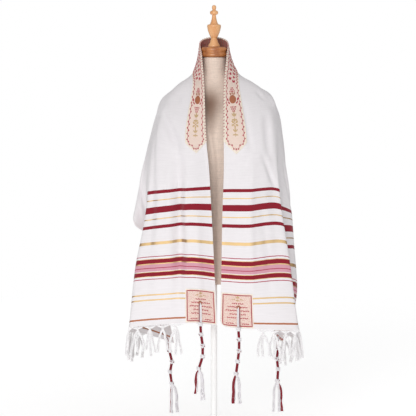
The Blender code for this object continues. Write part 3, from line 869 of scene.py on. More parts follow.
def striped_wool():
    """Wool and silk challis, plain woven with crimson, gold, pink and copper weft stripes.

    The white ground is matt with a soft sheen, and the gold thread in the stripes glints.
    """
    cloth = bpy.context.scene.tallit_cloth
    material, shader, add = start_material("striped_wool_woven", 0.78, sheen=0.22, specular=0.25)
    weave, across, from_hem = weave_coordinates(add)

    # The weft wanders a fraction of a millimetre, so the stripes' edges aren't ruled.
    wander = add("TexNoise", {"Vector": weave, "Scale": 60.0, "Detail": 3.0})
    centred = add("Math", (wander, 0.5), operation="SUBTRACT")
    moved = add("Math", (centred, 1.2 * MM, from_hem), operation="MULTIPLY_ADD")

    ramps = []
    for low, high in ((0.0, STRIPE_SPLIT), (STRIPE_SPLIT, STRIPE_TOP)):
        past = add("Math", (moved, low), operation="SUBTRACT")
        ramps.append(add("ValToRGB", (add("Math", (past, high - low), operation="DIVIDE"),)))
        fill_stripe_ramp(ramps[-1].node.color_ramp, low, high)
    lower, upper = ramps
    is_upper = add("Math", (moved, STRIPE_SPLIT), operation="GREATER_THAN")
    stripes = add("Mix", {0: is_upper, 6: lower, 7: upper}, data_type="RGBA")
    glint = add("Mix", {0: is_upper, 2: lower.node.outputs["Alpha"], 3: upper.node.outputs["Alpha"]},
                data_type="FLOAT")

    # Beside a patch at the neck edge the patch's cream margin hides the stripes.
    at_edge = add("Math", (across, PATCH_INSET + 2 * MM), operation="LESS_THAN")
    at_hem = add("Math", (from_hem, PATCH_INSET + PATCH_HEIGHT), operation="LESS_THAN")
    by_patch = add("Math", (at_edge, at_hem), operation="MULTIPLY")
    stripes = add("Mix", {0: by_patch, 6: stripes, 7: cloth.white}, data_type="RGBA")

    # Painted shade: the gold stripes are painted darker, towards copper, where a fold turns the cloth
    # sideways, in place of the metal thread's reflection turning away.
    turned = add("SeparateXYZ", (add("NewGeometry", output="Normal"),))
    aside = add("MapRange", (add("Math", (turned,), operation="ABSOLUTE"), 0.42, 0.74, 0.0, 0.75))
    painted_shade_share = add("Math", (glint, aside), operation="MULTIPLY")
    stripes_with_painted_shade = add("Mix", {0: painted_shade_share, 6: stripes, 7: linear(PAINTED_SHADE_GOLD)}, data_type="RGBA")

    # Tone-on-tone satin lines lie between the coloured stripes, 9 mm apart.
    line = add("Math", (ripple(add, from_hem, 9 * MM), 0.35), operation="GREATER_THAN")
    at_end = add("Math", (from_hem, 500 * MM), operation="LESS_THAN")
    satin = add("Math", (line, at_end), operation="MULTIPLY")

    # Slubs run along the weft, so the noise is stretched across the cloth. Real slubs are about a
    # millimetre thick, and they are drawn at 3 mm so that they show in the render.
    stretched = add("Mapping", {"Vector": weave, "Scale": (22, 330, 1)})
    slubs = add("TexNoise", {"Vector": stretched, "Scale": 1.0, "Detail": 2.0})
    tone = add("MapRange", (slubs, 0.3, 0.7, 0.975, 1.02))

    # Threads lie 0.5 mm apart in the real cloth, and are drawn 1.5 mm apart.
    pitch = 1.5 * MM
    crossing = add("Math", (ripple(add, across, pitch), ripple(add, from_hem, pitch)), operation="MULTIPLY")
    threads = add("Math", (crossing, 0.5, 0.5), operation="MULTIPLY_ADD")
    height = add("Math", (slubs, 1.4, threads), operation="MULTIPLY_ADD")
    feed(shader, {
        "Base Color": shaded(add, stripes_with_painted_shade, add("Math", (satin, -0.009, tone), operation="MULTIPLY_ADD")),
        "Metallic": add("Math", (glint, 0.35), operation="MULTIPLY"),
        "Roughness": add("Math", (glint, -0.3, 0.8), operation="MULTIPLY_ADD"),
        "Normal": add("Bump", {"Height": height, "Distance": 0.16 * MM, "Strength": 0.7}),
    })
    return material


def brocade(name, rose, shade="#FFFFFF"):
    """Rayon brocade, jacquard woven: a pale lozenge lattice on beige pink, with a cream margin.

    The floats of the lattice catch more light than the ground. rose is how much of the ground shows the
    rose weft in small flecks, and shade is a painted shade multiplied over the field, as inside the collar.
    """
    trim = bpy.context.scene.tallit_trim
    material, shader, add = start_material(name, 0.6, sheen=0.15, specular=0.4)
    weave, across, down = weave_coordinates(add)
    lines = []
    for lean in ("ADD", "SUBTRACT"):
        slant = add("Math", (add("Math", (across, down), operation=lean), 7 * MM), operation="DIVIDE")
        lines.append(add("Math", (add("Math", (slant,), operation="FRACT"), 0.2), operation="LESS_THAN"))
    lattice = add("Math", lines, operation="MAXIMUM")
    from_edge = add("Attribute", output="Fac", attribute_name="edge_distance")
    margin = add("Math", (from_edge, 5.2 * MM), operation="LESS_THAN")
    field = add("Math", (1.0, margin), operation="SUBTRACT")
    pale = add("Math", (add("Math", (lattice, 0.45), operation="MULTIPLY"), margin), operation="MAXIMUM")
    ground = add("Mix", {0: pale, 6: trim.ground, 7: trim.cream}, data_type="RGBA")
    mottle = add("TexNoise", {"Vector": weave, "Scale": 260.0, "Detail": 2.0})
    flecks = add("MapRange", (mottle, 0.42, 0.6, 0.0, rose))
    flecked = add("Math", (flecks, field), operation="MULTIPLY")
    ground = add("Mix", {0: flecked, 6: ground, 7: trim.crimson}, data_type="RGBA")
    # Painted shade: the field is multiplied by the shade colour, dark for the binding inside the collar.
    ground = add("Mix", {0: field, 6: ground, 7: linear(shade)}, data_type="RGBA", blend_type="MULTIPLY")
    # Weft ribs are about 0.4 mm apart in such brocade, and are drawn 1 mm apart.
    height = add("Math", (lattice, 1.6, ripple(add, down, 1.0 * MM)), operation="MULTIPLY_ADD")
    feed(shader, {
        "Base Color": shaded(add, ground, add("MapRange", (mottle, 0.3, 0.7, 0.9, 1.05))),
        "Normal": add("Bump", {"Height": height, "Distance": 0.12 * MM, "Strength": 0.8}),
    })
    return material


def embroidery_thread(name, colour, metallic=0.0, roughness=0.42):
    """Twisted rayon or metal-wrapped embroidery thread, which shines along its twist."""
    material, shader, add = start_material(name, roughness, sheen=0.1)
    # The twist of 0.4 mm in such thread is drawn at 1.4 mm.
    twist = plied_twist(add, 1, 1.4 * MM)
    # Painted shade and highlight: the colour follows the twist, darker where it dips and lighter on its
    # crests.
    feed(shader, {
        "Base Color": shaded(add, colour, add("MapRange", (twist, -1.0, 1.0, 0.8, 1.08))),
        "Metallic": metallic,
        "Normal": add("Bump", {"Height": twist, "Distance": 0.1 * MM, "Strength": 0.6}),
    })
    return material


def wool_yarn(name, colour, pitch):
    """Undyed or dyed wool yarn, two plies: soft, matt, with the plies winding down it and a light fuzz."""
    material, shader, add = start_material(name, 0.85, sheen=0.35, specular=0.2)
    twist = plied_twist(add, 2, pitch)
    place = add("TexCoord", output="Object")
    fibres = add("TexNoise", {"Vector": place, "Scale": 700.0, "Detail": 3.0})
    # Painted shade and highlight: the colour follows the twist, darker in the grooves between the plies and
    # lighter on their crests.
    ply_painted_shade = add("MapRange", (twist, -1.0, 1.0, 0.86, 1.02))
    fibre_tone = add("MapRange", (fibres, 0.3, 0.7, 0.93, 1.03))
    height = add("Math", (fibres, 0.8, twist), operation="MULTIPLY_ADD")
    feed(shader, {
        "Base Color": shaded(add, colour, add("Math", (ply_painted_shade, fibre_tone), operation="MULTIPLY")),
        "Normal": add("Bump", {"Height": height, "Distance": 0.3 * MM, "Strength": 0.7}),
    })
    return material


def linen_cover():
    """Plain linen canvas, stretched tight: thick and thin threads both ways and a dry, matt face."""
    form = bpy.context.scene.tallit_form
    material, shader, add = start_material("linen_canvas_stretched", 0.88, sheen=0.12, specular=0.2)
    place = add("TexCoord", output="Object")
    # Linen threads are 0.7 mm thick, and their unevenness is drawn at 2.5 mm.
    weft_and_warp = []
    for scale in ((40, 40, 420), (420, 420, 40)):
        stretched = add("Mapping", {"Vector": place, "Scale": scale})
        weft_and_warp.append(add("TexNoise", {"Vector": stretched, "Scale": 1.0, "Detail": 2.0}))
    threads = add("Math", weft_and_warp, operation="ADD")
    toned = shaded(add, form.linen, add("MapRange", (threads, 0.75, 1.25, 0.9, 1.05)))
    # Painted shade: a dark band down the front of the form, where the collar and the shawl's panels shade it,
    # leans from the left of the neck to the middle, darkest just below the neck.
    x = add("SeparateXYZ", (place,))
    z = x.node.outputs["Z"]
    lean = add("MapRange", (z, 0.84, 1.04, 6 * MM, -13 * MM), interpolation_type="SMOOTHSTEP")
    beside = add("Math", (add("Math", (x, lean), operation="SUBTRACT"),), operation="ABSOLUTE")
    spread = add("MapRange", (z, 0.95, 1.05, 9 * MM, 58 * MM))
    painted_shade = add("Math", (x.node.outputs["Y"], 0.0), operation="LESS_THAN")
    for limits in ((beside, 0.0, spread, 1.0, 0.0), (z, 0.94, 1.05, 0.2, 0.9), (z, 1.05, 1.13, 1.0, 0.0)):
        share = add("MapRange", limits, interpolation_type="SMOOTHSTEP")
        painted_shade = add("Math", (painted_shade, share), operation="MULTIPLY")
    feed(shader, {
        "Base Color": add("Mix", {0: painted_shade, 6: toned, 7: linear(PAINTED_SHADE_LINEN)}, data_type="RGBA"),
        "Normal": add("Bump", {"Height": threads, "Distance": 0.35 * MM, "Strength": 0.6}),
    })
    return material


def turned_wood(name, colour, dark, ring_pitch):
    """Beech or a red stained hardwood, turned and varnished: long grain, fine pores, a satin coat."""
    material, shader, add = start_material(name, 0.38)
    place = add("TexCoord", output="Object")
    # The blank's grain runs up the piece, a little off its axis.
    lean = add("Mapping", {"Vector": place, "Rotation": (0.12, 0.2, 0.4), "Location": (0.03, 0.05, 0)})
    long_grain = add("Mapping", {"Vector": lean, "Scale": (1, 1, 0.12)})
    rings = add("TexWave", {"Vector": long_grain, "Scale": 1 / ring_pitch / 20, "Distortion": 5.0,
                            "Detail": 3.0, "Detail Scale": 2.0},
                output="Fac", wave_type="RINGS", rings_direction="Z")
    fine = add("Mapping", {"Vector": lean, "Scale": (900, 900, 60)})
    pores = add("TexNoise", {"Vector": fine, "Scale": 1.0, "Detail": 2.0})
    pore_tone = add("MapRange", (pores, 0.3, 0.7, 0.0, 0.35))
    share = add("Math", (rings, 0.6, pore_tone), operation="MULTIPLY_ADD", use_clamp=True)
    feed(shader, {
        "Base Color": add("Mix", {0: share, 6: colour, 7: dark}, data_type="RGBA"),
        "Coat Weight": 0.45,
        "Coat Roughness": 0.22,
        "Normal": add("Bump", {"Height": pores, "Distance": 0.05 * MM, "Strength": 0.5}),
    })
    return material


def powder_coat():
    """Steel with a white powder coat, baked: even, with a fine orange-peel skin."""
    form = bpy.context.scene.tallit_form
    material, shader, add = start_material("steel_powder_coated", 0.42)
    place = add("TexCoord", output="Object")
    skin = add("TexNoise", {"Vector": place, "Scale": 420.0, "Detail": 1.0})
    feed(shader, {
        "Base Color": form.steel,
        "Roughness": add("MapRange", (skin, 0.3, 0.7, 0.36, 0.5)),
        "Normal": add("Bump", {"Height": skin, "Distance": 0.06 * MM, "Strength": 0.5}),
    })
    return material


def studio_floor():
    """Matt translucent studio paper over a lit table, pale and even, with a faint fibre."""
    stage = bpy.context.scene.tallit_stage
    material, shader, add = start_material("studio_paper_matt", 0.9, specular=0.1)
    place = add("TexCoord", output="Object")
    fibre = add("TexNoise", {"Vector": place, "Scale": 90.0, "Detail": 2.0})
    feed(shader, {
        "Base Color": shaded(add, stage.floor, add("MapRange", (fibre, 0.3, 0.7, 0.99, 1.0))),
        "Emission Color": stage.floor,
        "Emission Strength": stage.glow,
    })
    return material


@functools.lru_cache(maxsize=None)
def finish(name):
    """A material by its name here, made once."""
    trim = bpy.context.scene.tallit_trim
    tassel = bpy.context.scene.tallit_tassel
    form = bpy.context.scene.tallit_form
    makers = {
        "cloth": (striped_wool,),
        "brocade": (brocade, "rayon_brocade_woven", 0.1),
        "patch brocade": (brocade, "rayon_brocade_flecked", 0.35),
        "binding brocade": (brocade, "rayon_brocade_worn", 0.3, "#A98A82"),
        "crimson thread": (embroidery_thread, "rayon_thread_crimson", trim.crimson),
        "gold thread": (embroidery_thread, "metal_wrapped_thread_gold", trim.gold, 0.25, 0.36),
        "copper thread": (embroidery_thread, "rayon_thread_copper", trim.copper, 0.15),
        "sewing thread": (embroidery_thread, "polyester_sewing_thread", trim.cream),
        "white cord": (wool_yarn, "wool_cord_undyed", tassel.white, 5 * MM),
        "crimson cord": (wool_yarn, "wool_cord_dyed", tassel.crimson, 5 * MM),
        "fringe": (wool_yarn, "wool_fringe_yarn", bpy.context.scene.tallit_fringe.white, 7 * MM),
        "linen": (linen_cover,),
        "cap wood": (turned_wood, "hardwood_stained_turned", form.cap_wood, linear("#9C572C"), 5 * MM),
        "finial wood": (turned_wood, "beech_varnished_turned", form.finial_wood, linear("#DD9A60"), 6 * MM),
        "powder coat": (powder_coat,),
        "floor": (studio_floor,),
    }
    make, *values = makers[name]
    return make(*values)


# The shawl

def shawl_rows():
    """The mesh lines of the shawl, closer together at its hems."""
    cloth = bpy.context.scene.tallit_cloth
    hem = [1 * MM, HEM_WIDTH - 0.4 * MM, HEM_WIDTH + 0.6 * MM]
    columns = [0.0] + hem + even_steps(hem[-1], CUT_WIDTH - hem[-1], cloth.step)
    columns += [CUT_WIDTH - h for h in reversed(hem[:-1])] + [CUT_WIDTH]
    half = even_steps(0.0, HALF_LENGTH - hem[-1], cloth.step)
    half += [HALF_LENGTH - h for h in reversed(hem[:-1])] + [HALF_LENGTH]
    return [(along, columns) for along in both_ways(half)]


def sew_run(skein, places, lift):
    """Running stitches along places on the cloth, each a short thread that dips in at its ends."""
    trim = bpy.context.scene.tallit_trim
    pitch = trim.stitch * 1.45
    reach = running_lengths(places)

    def place_at(distance):
        i = min(max(bisect.bisect_right(reach, distance) - 1, 0), len(places) - 2)
        t = (distance - reach[i]) / (reach[i + 1] - reach[i])
        return [near + (far - near) * t for near, far in zip(places[i], places[i + 1])]

    for i in range(int(reach[-1] / pitch)):
        start = i * pitch
        from_hem = (HALF_LENGTH - abs(place_at(start)[0])) / MM
        # The thread sinks into the thicker weft of the coloured stripes.
        if any(stripe.start - 3 < from_hem < stripe.end + 3 for stripe in STRIPES):
            continue
        path = []
        for share, out in ((0, -0.1 * MM), (0.22, 0.14 * MM), (0.78, 0.14 * MM), (1, -0.1 * MM)):
            along, across = place_at(start + trim.stitch * share)
            path.append(cloth_point(along, across, lift + out))
        skein.add_yarn(path, [0.14 * MM, 0.2 * MM, 0.2 * MM, 0.14 * MM], sides=4)


def rectangle_run(low_along, high_along, low_across, high_across, inset):
    """The places along a rectangle's edge on the cloth, a little inside it."""
    a0, a1 = low_along + inset, high_along - inset
    c0, c1 = low_across + inset, high_across - inset
    places = [(a0, c0)] + [(a, c0) for a in even_steps(a0, a1, 12 * MM)]
    places += [(a1, c) for c in even_steps(c0, c1, 12 * MM)]
    places += [(a, c1) for a in reversed([a0] + even_steps(a0, a1, 12 * MM)[:-1])]
    return places + [(a0, c) for c in reversed([c0] + even_steps(c0, c1, 12 * MM)[:-1])]


class TallitWeaveShawl(bpy.types.Operator):
    """Weave the shawl, drape it over the form and stitch its hems"""
    bl_idname = "tallit.weave_shawl"
    bl_label = "Weave the shawl"

    def execute(self, context):
        cloth = context.scene.tallit_cloth

        def weave(along, across):
            return across, HALF_LENGTH - abs(along)

        shawl = lay_sheet("shawl", shawl_rows(), cloth_point, cloth.wall, weave)
        shawl.data.materials.append(finish("cloth"))
        place_on_frame(shawl, "shawl_wool", "shawl_cloth")
        hem = Skein()
        sew_run(hem, rectangle_run(-HALF_LENGTH, HALF_LENGTH, 0.0, CUT_WIDTH, 5 * MM), cloth.wall / 2)
        stitches = hem.make("shawl_hem_stitches", finish("sewing thread"))
        place_on_frame(stitches, "shawl_wool")
        return {"FINISHED"}


# Shapes for embroidery, about their own centre, in metres: across the cloth, then along it

def leaf_shape(length, width, tilt=0.0, move=(0.0, 0.0)):
    """A leaf with two points, turned by a tilt in degrees and moved."""
    outline = []
    for i in range(12):
        turn = 2 * math.pi * i / 12
        x = math.sin(turn) * width / 2 * (1 - 0.25 * abs(math.cos(turn)))
        y = math.cos(turn) * length / 2
        outline.append(Vector((x, y)))
    turned = Matrix.Rotation(math.radians(tilt), 2)
    return [tuple(turned @ p + Vector(move)) for p in outline]


def lozenge_shape(length, width, move=(0.0, 0.0)):
    """A lozenge with slightly hollow sides."""
    outline = []
    for i in range(8):
        turn = 2 * math.pi * i / 8
        share = (1.0 if i % 2 == 0 else 0.64) / 2
        x = move[0] + math.sin(turn) * width * share
        outline.append((x, move[1] + math.cos(turn) * length * share))
    return outline


def round_shape(radius, bulge=0.0, move=(0.0, 0.0), count=14):
    """A round or pear shape, fuller at its lower end."""
    outline = []
    for i in range(count):
        turn = 2 * math.pi * i / count
        r = radius * (1 + bulge * math.cos(turn))
        outline.append((move[0] + math.sin(turn) * r, move[1] + math.cos(turn) * r))
    return outline


def pomegranate(place, copper, crimson, rise, size):
    """A pomegranate with a crown, a split that shows its seeds, and leaves round it."""
    copper.add_satin(round_shape(5.4 * size, 0.08), place, rise * 1.2)
    for tilt in (-26, 0, 26):
        shift = (math.sin(math.radians(tilt)) * 7.2 * size, -math.cos(math.radians(tilt)) * 7.4 * size)
        copper.add_satin(leaf_shape(4.6 * size, 2.2 * size, tilt, shift), place, rise)
    for side in (-1, 1):
        for tilt in (52, 84):
            reach = 7.6 * size
            shift = (side * math.sin(math.radians(tilt)) * reach, math.cos(math.radians(tilt)) * reach)
            crimson.add_satin(leaf_shape(4.4 * size, 1.8 * size, -side * (tilt + 78), shift), place, rise)


def berries(place, skein, rise, facing):
    """Berries in tiers, as a bunch that narrows outwards."""
    for tier, across in enumerate(((-8.4, -2.8, 2.8, 8.4), (-5.6, 0, 5.6), (-2.8, 2.8))):
        for x in across:
            centre = (x * MM, facing * (tier * 5.4 - 1) * MM)
            skein.add_satin(lozenge_shape(6 * MM, 4.8 * MM, centre), place, rise)


def rosette(place, skein, rise, petals, reach, width):
    """Petals round a small button."""
    for i in range(petals):
        tilt = 360 * i / petals
        shift = (-math.sin(math.radians(tilt)) * reach * 0.62, math.cos(math.radians(tilt)) * reach * 0.62)
        skein.add_satin(leaf_shape(reach * 0.72, width, tilt, shift), place, rise)
    skein.add_satin(round_shape(reach * 0.2, 0.0, count=8), place, rise * 1.3)


def sprig(place, skein, rise, size):
    """An upright stem with three leaves on top and a pair below."""
    for tilt, reach, drop in SPRIG_LEAVES:
        shift = (-math.sin(math.radians(tilt)) * reach * size * 0.55,
                 -math.cos(math.radians(tilt)) * reach * size * 0.55 + drop * size)
        skein.add_satin(leaf_shape(reach * size, 2.3 * size, -tilt, shift), place, rise)
    skein.add_satin(leaf_shape(7.0 * size, 1.3 * size, 0, (0, 4.6 * size)), place, rise)


# The neckband and the binding of the neck edge

BAND_MIDDLE = BAND_INSET + BAND_WIDTH / 2
BINDING_WALL = 0.6 * MM
BINDING_FRONT = 2.6 * MM
BINDING_BACK = 32 * MM
BINDING_HALF_LENGTH = 412 * MM
BINDING_END = 6 * MM
BINDING_STITCH_PITCH = 9.2 * MM
# Slanted stitches in a chain of pairs, in millimetres: start and end over the binding, and slant
BINDING_STITCHES = (
    (0.4, 4.6, 1.6), (6.6, 9.4, -1.6), (11.4, 14.6, 1.6), (16.6, 20, -1.6), (22, 25, 1.6), (27.4, 30.6, -1.6),
)
NECK_ROWS_REACH = 232 * MM
NECK_ROWS_PITCH = 20 * MM


def band_outline(inset):
    """The corners of the band's outline, moved in: distance along and distance from its middle line."""
    half = BAND_WIDTH / 2
    shoulder = BAND_HALF_LENGTH - BAND_POINT
    slope = Vector((half - BAND_TIP_WIDTH / 2, BAND_POINT)).normalized()
    level = slope.x * shoulder + slope.y * half - inset
    side = half - inset
    bend = (level - slope.y * side) / slope.x
    tip = level / slope.x
    return [(-bend, side), (bend, side), (tip, 0.0), (bend, -side), (-bend, -side), (-tip, 0.0)]


def band_edge_distance(from_middle, along):
    """How far a place on the band lies inside its outline."""
    half = BAND_WIDTH / 2
    shoulder = BAND_HALF_LENGTH - BAND_POINT
    slope = Vector((half - BAND_TIP_WIDTH / 2, BAND_POINT)).normalized()
    to_slope = slope.x * (shoulder - abs(along)) + slope.y * (half - abs(from_middle))
    return max(0.0, min(half - abs(from_middle), to_slope))


def side_places(near, far, count):
    """Places from one corner towards the next, without the last one."""
    return [(near[0] + (far[0] - near[0]) * i / count, near[1] + (far[1] - near[1]) * i / count)
            for i in range(count)]


def outline_places(corners, longest):
    """Places along a closed outline, back to its first corner."""
    places = []
    for near, far in zip(corners, corners[1:] + corners[:1]):
        places += side_places(near, far, max(1, math.ceil(math.dist(near, far) / longest)))
    return places + places[:1]


def zigzag_places(outer, inner, pitch):
    """A closed zigzag between two outlines with the same corners, back to its first place."""
    places = []
    for k in range(len(outer)):
        n = (k + 1) % len(outer)
        count = max(2, 2 * round(math.dist(outer[n], outer[k]) / pitch))
        on_inner = side_places(inner[k], inner[n], count)
        on_outer = side_places(outer[k], outer[n], count)
        for pair in zip(on_inner[::2], on_outer[1::2]):
            places += pair
    return places + places[:1]


def couch_round(skein, corners, place, longest, out, radius):
    """A thread couched along a closed outline."""
    path = [place(first, second, out) for first, second in outline_places(corners, longest)]
    skein.add_yarn(path, radius, sides=5)


def store_edge_distance(sheet, distance):
    """Keep how far inside its piece's edge each vertex lies, worked out from its weave map."""
    found = [0.0] * len(sheet.data.vertices)
    pairs = sheet.data.uv_layers["weave"].data
    for loop in sheet.data.loops:
        found[loop.vertex_index] = distance(*pairs[loop.index].uv)
    edge = sheet.data.attributes.new("edge_distance", "FLOAT", "POINT")
    edge.data.foreach_set("value", found)


EMBROIDERY = ("crimson thread", "gold thread", "copper thread", "sewing thread")


def place_embroidery(prefix, skeins, parts):
    """Make the crimson, gold, copper and sewing skeins of a sewn-on piece."""
    for skein, part, thread in zip(skeins, parts, EMBROIDERY):
        place_on_frame(skein.make(prefix + part, finish(thread)), "brocade")


class TallitSewNeckband(bpy.types.Operator):
    """Sew the brocade neckband on the shawl and embroider it"""
    bl_idname = "tallit.sew_neckband"
    bl_label = "Sew the neckband"

    def execute(self, context):
        trim = context.scene.tallit_trim
        middle_out = context.scene.tallit_cloth.wall / 2 + SEAM_GAP + trim.wall / 2
        face_out = middle_out + trim.wall / 2
        shoulder = BAND_HALF_LENGTH - BAND_POINT
        offsets = [0.0] + even_steps(0.0, BAND_WIDTH, 3.7 * MM)
        rows = []
        half = even_steps(0.0, shoulder, 5 * MM) + even_steps(shoulder, BAND_HALF_LENGTH, 2 * MM)
        for along in both_ways(half):
            past = max(0.0, abs(along) - shoulder) / BAND_POINT
            share = 1 - past * (1 - BAND_TIP_WIDTH / BAND_WIDTH)
            rows.append((along, [BAND_MIDDLE + (o - BAND_WIDTH / 2) * share for o in offsets]))

        def place(along, across):
            return cloth_point(along, across, middle_out)

        def weave(along, across):
            return across - BAND_MIDDLE, along

        band = lay_sheet("neckband_brocade", rows, place, trim.wall, weave)
        store_edge_distance(band, band_edge_distance)
        band.data.materials.append(finish("brocade"))
        place_on_frame(band, "brocade", "neckband")

        def on_band(along, from_middle, out):
            return cloth_point(along, BAND_MIDDLE + from_middle, face_out + out)

        skeins = [Skein() for _ in EMBROIDERY]
        crimson, gold, copper, sewing = skeins
        self.border(on_band, crimson, sewing)
        self.ornament(on_band, crimson, gold, copper)
        places = outline_places(band_outline(1.6 * MM), 12 * MM)
        sew_run(sewing, [(a, BAND_MIDDLE + c) for a, c in places], face_out)
        place_embroidery("neckband_", skeins,
                         ("crimson_embroidery", "gold_embroidery", "copper_embroidery", "stitches"))
        return {"FINISHED"}

    def border(self, on_band, crimson, cream):
        """A crimson zigzag with a lozenge at each turn, and a cream cord along the edge."""
        trim = bpy.context.scene.tallit_trim
        places = zigzag_places(band_outline(6.4 * MM), band_outline(11 * MM), 17 * MM)
        path = []
        for (a0, c0), (a1, c1) in zip(places, places[1:]):
            path.append(on_band(a0, c0, trim.thread * 0.5))
            path.append(on_band((a0 + a1) / 2, (c0 + c1) / 2, trim.thread * 0.5))
        crimson.add_yarn(path + path[:1], trim.thread * 0.65, sides=5)
        for a, c in places[:-1]:
            crimson.add_satin(lozenge_shape(6.6 * MM, 6 * MM, (c, a)),
                              lambda x, y, out: on_band(y, x, out), trim.satin * 1.4)
        couch_round(cream, band_outline(1.0 * MM), on_band, 7 * MM, trim.thread * 0.3, trim.thread * 0.8)

    def ornament(self, on_band, crimson, gold, copper):
        """Rows of lozenges and leaves round the neck, and berries, a pomegranate and sprigs in front."""
        rise = bpy.context.scene.tallit_trim.satin

        def about(along, from_middle, flip, wide=1.0):
            return lambda x, y, out: on_band(along + flip * y, from_middle + x * wide, out)

        count = int(NECK_ROWS_REACH / NECK_ROWS_PITCH)
        for row, from_middle in enumerate((-11 * MM, 11 * MM)):
            for i in range(-count, count + 1):
                spot = about((i + row / 2) * NECK_ROWS_PITCH, from_middle, 1)
                shapes = [lozenge_shape(14 * MM, 17 * MM)]
                if i % 2:
                    shapes = [leaf_shape(13.6 * MM, 7.6 * MM, side * 20, (side * 4 * MM, 0))
                              for side in (-1, 1)]
                for shape in shapes:
                    crimson.add_satin(shape, spot, rise)
        for flip in (-1, 1):
            pomegranate(about(flip * 290 * MM, 0, flip, 1.3), copper, crimson, rise, 2.3 * MM)
            berries(about(flip * 266 * MM, 0, flip, 1.3), crimson, rise, -1)
            berries(about(flip * 314 * MM, 0, flip, 1.2), crimson, rise, 1)
            sprig(about(flip * 338 * MM, 0, flip, 1.1), gold, rise, 2.0 * MM)
            rosette(about(flip * 358 * MM, 0, flip), gold, rise, 6, 14 * MM, 6 * MM)
            sprig(about(flip * 381 * MM, 0, flip), gold, rise, 1.9 * MM)


class TallitBindNeck(bpy.types.Operator):
    """Fold a brocade binding over the shawl's neck edge and stitch it"""
    bl_idname = "tallit.bind_neck"
    bl_label = "Bind the neck edge"

    def execute(self, context):
        thread = context.scene.tallit_trim.thread
        reach = context.scene.tallit_cloth.wall / 2 + SEAM_GAP + BINDING_WALL / 2
        bend_end = BINDING_FRONT + math.pi * reach

        def place(along, travel, lift=0.0):
            out = reach + lift
            turn = min(max(travel - BINDING_FRONT, 0.0), math.pi * reach) / reach
            over_cloth, normal = surface_directions(along, 0.0)[1:]
            if travel < BINDING_FRONT:
                return cloth_point(along, BINDING_FRONT - travel, out)
            if turn < math.pi - 1e-6:
                return cloth_point(along, 0.0) + (normal * math.cos(turn) - over_cloth * math.sin(turn)) * out
            return cloth_point(along, travel - bend_end, -out)

        travels = [0.0] + even_steps(0.0, BINDING_FRONT, 1.5 * MM)
        travels += even_steps(BINDING_FRONT, bend_end, 0.8 * MM)
        travels += even_steps(travels[-1], travels[-1] + BINDING_BACK, 2.5 * MM)
        rows = [(along, travels) for along in both_ways(even_steps(0.0, BINDING_HALF_LENGTH, 6 * MM))]
        binding = lay_sheet("neck_binding_brocade", rows, place, BINDING_WALL, lambda a, c: (c, a))
        # The strip shows its cream margin in front, and inside the collar its field is darkened by painted
        # shade.
        store_edge_distance(binding, lambda travel, along: max(0.0, travel - 3 * MM))
        binding.data.materials.append(finish("binding brocade"))
        place_on_frame(binding, "brocade")

        crimson = Skein()
        start_along = BINDING_END - BINDING_HALF_LENGTH
        lift = BINDING_WALL / 2 + 0.25 * MM
        for i in range(int(-2 * start_along / BINDING_STITCH_PITCH)):
            along = start_along + i * BINDING_STITCH_PITCH
            for start, end, slant in BINDING_STITCHES:
                path = []
                for share in (0, 0.25, 0.5, 0.75, 1):
                    travel = (start + (end - start) * share) * MM
                    path.append(place(along + slant * (share - 0.5) * MM, travel, lift))
                crimson.add_yarn(path, thread * 1.1, sides=5)
        place_on_frame(crimson.make("neck_binding_embroidery", finish("crimson thread")), "brocade")
        return {"FINISHED"}


# The corner patches

def along_at(end, from_hem):
    """The distance along the shawl of what lies that far above one end's hem."""
    return from_hem - HALF_LENGTH if end == "left" else HALF_LENGTH - from_hem


def across_at(edge, from_edge):
    """The distance across the shawl of what lies that far from one of its long edges."""
    return from_edge if edge == "neck" else CUT_WIDTH - from_edge


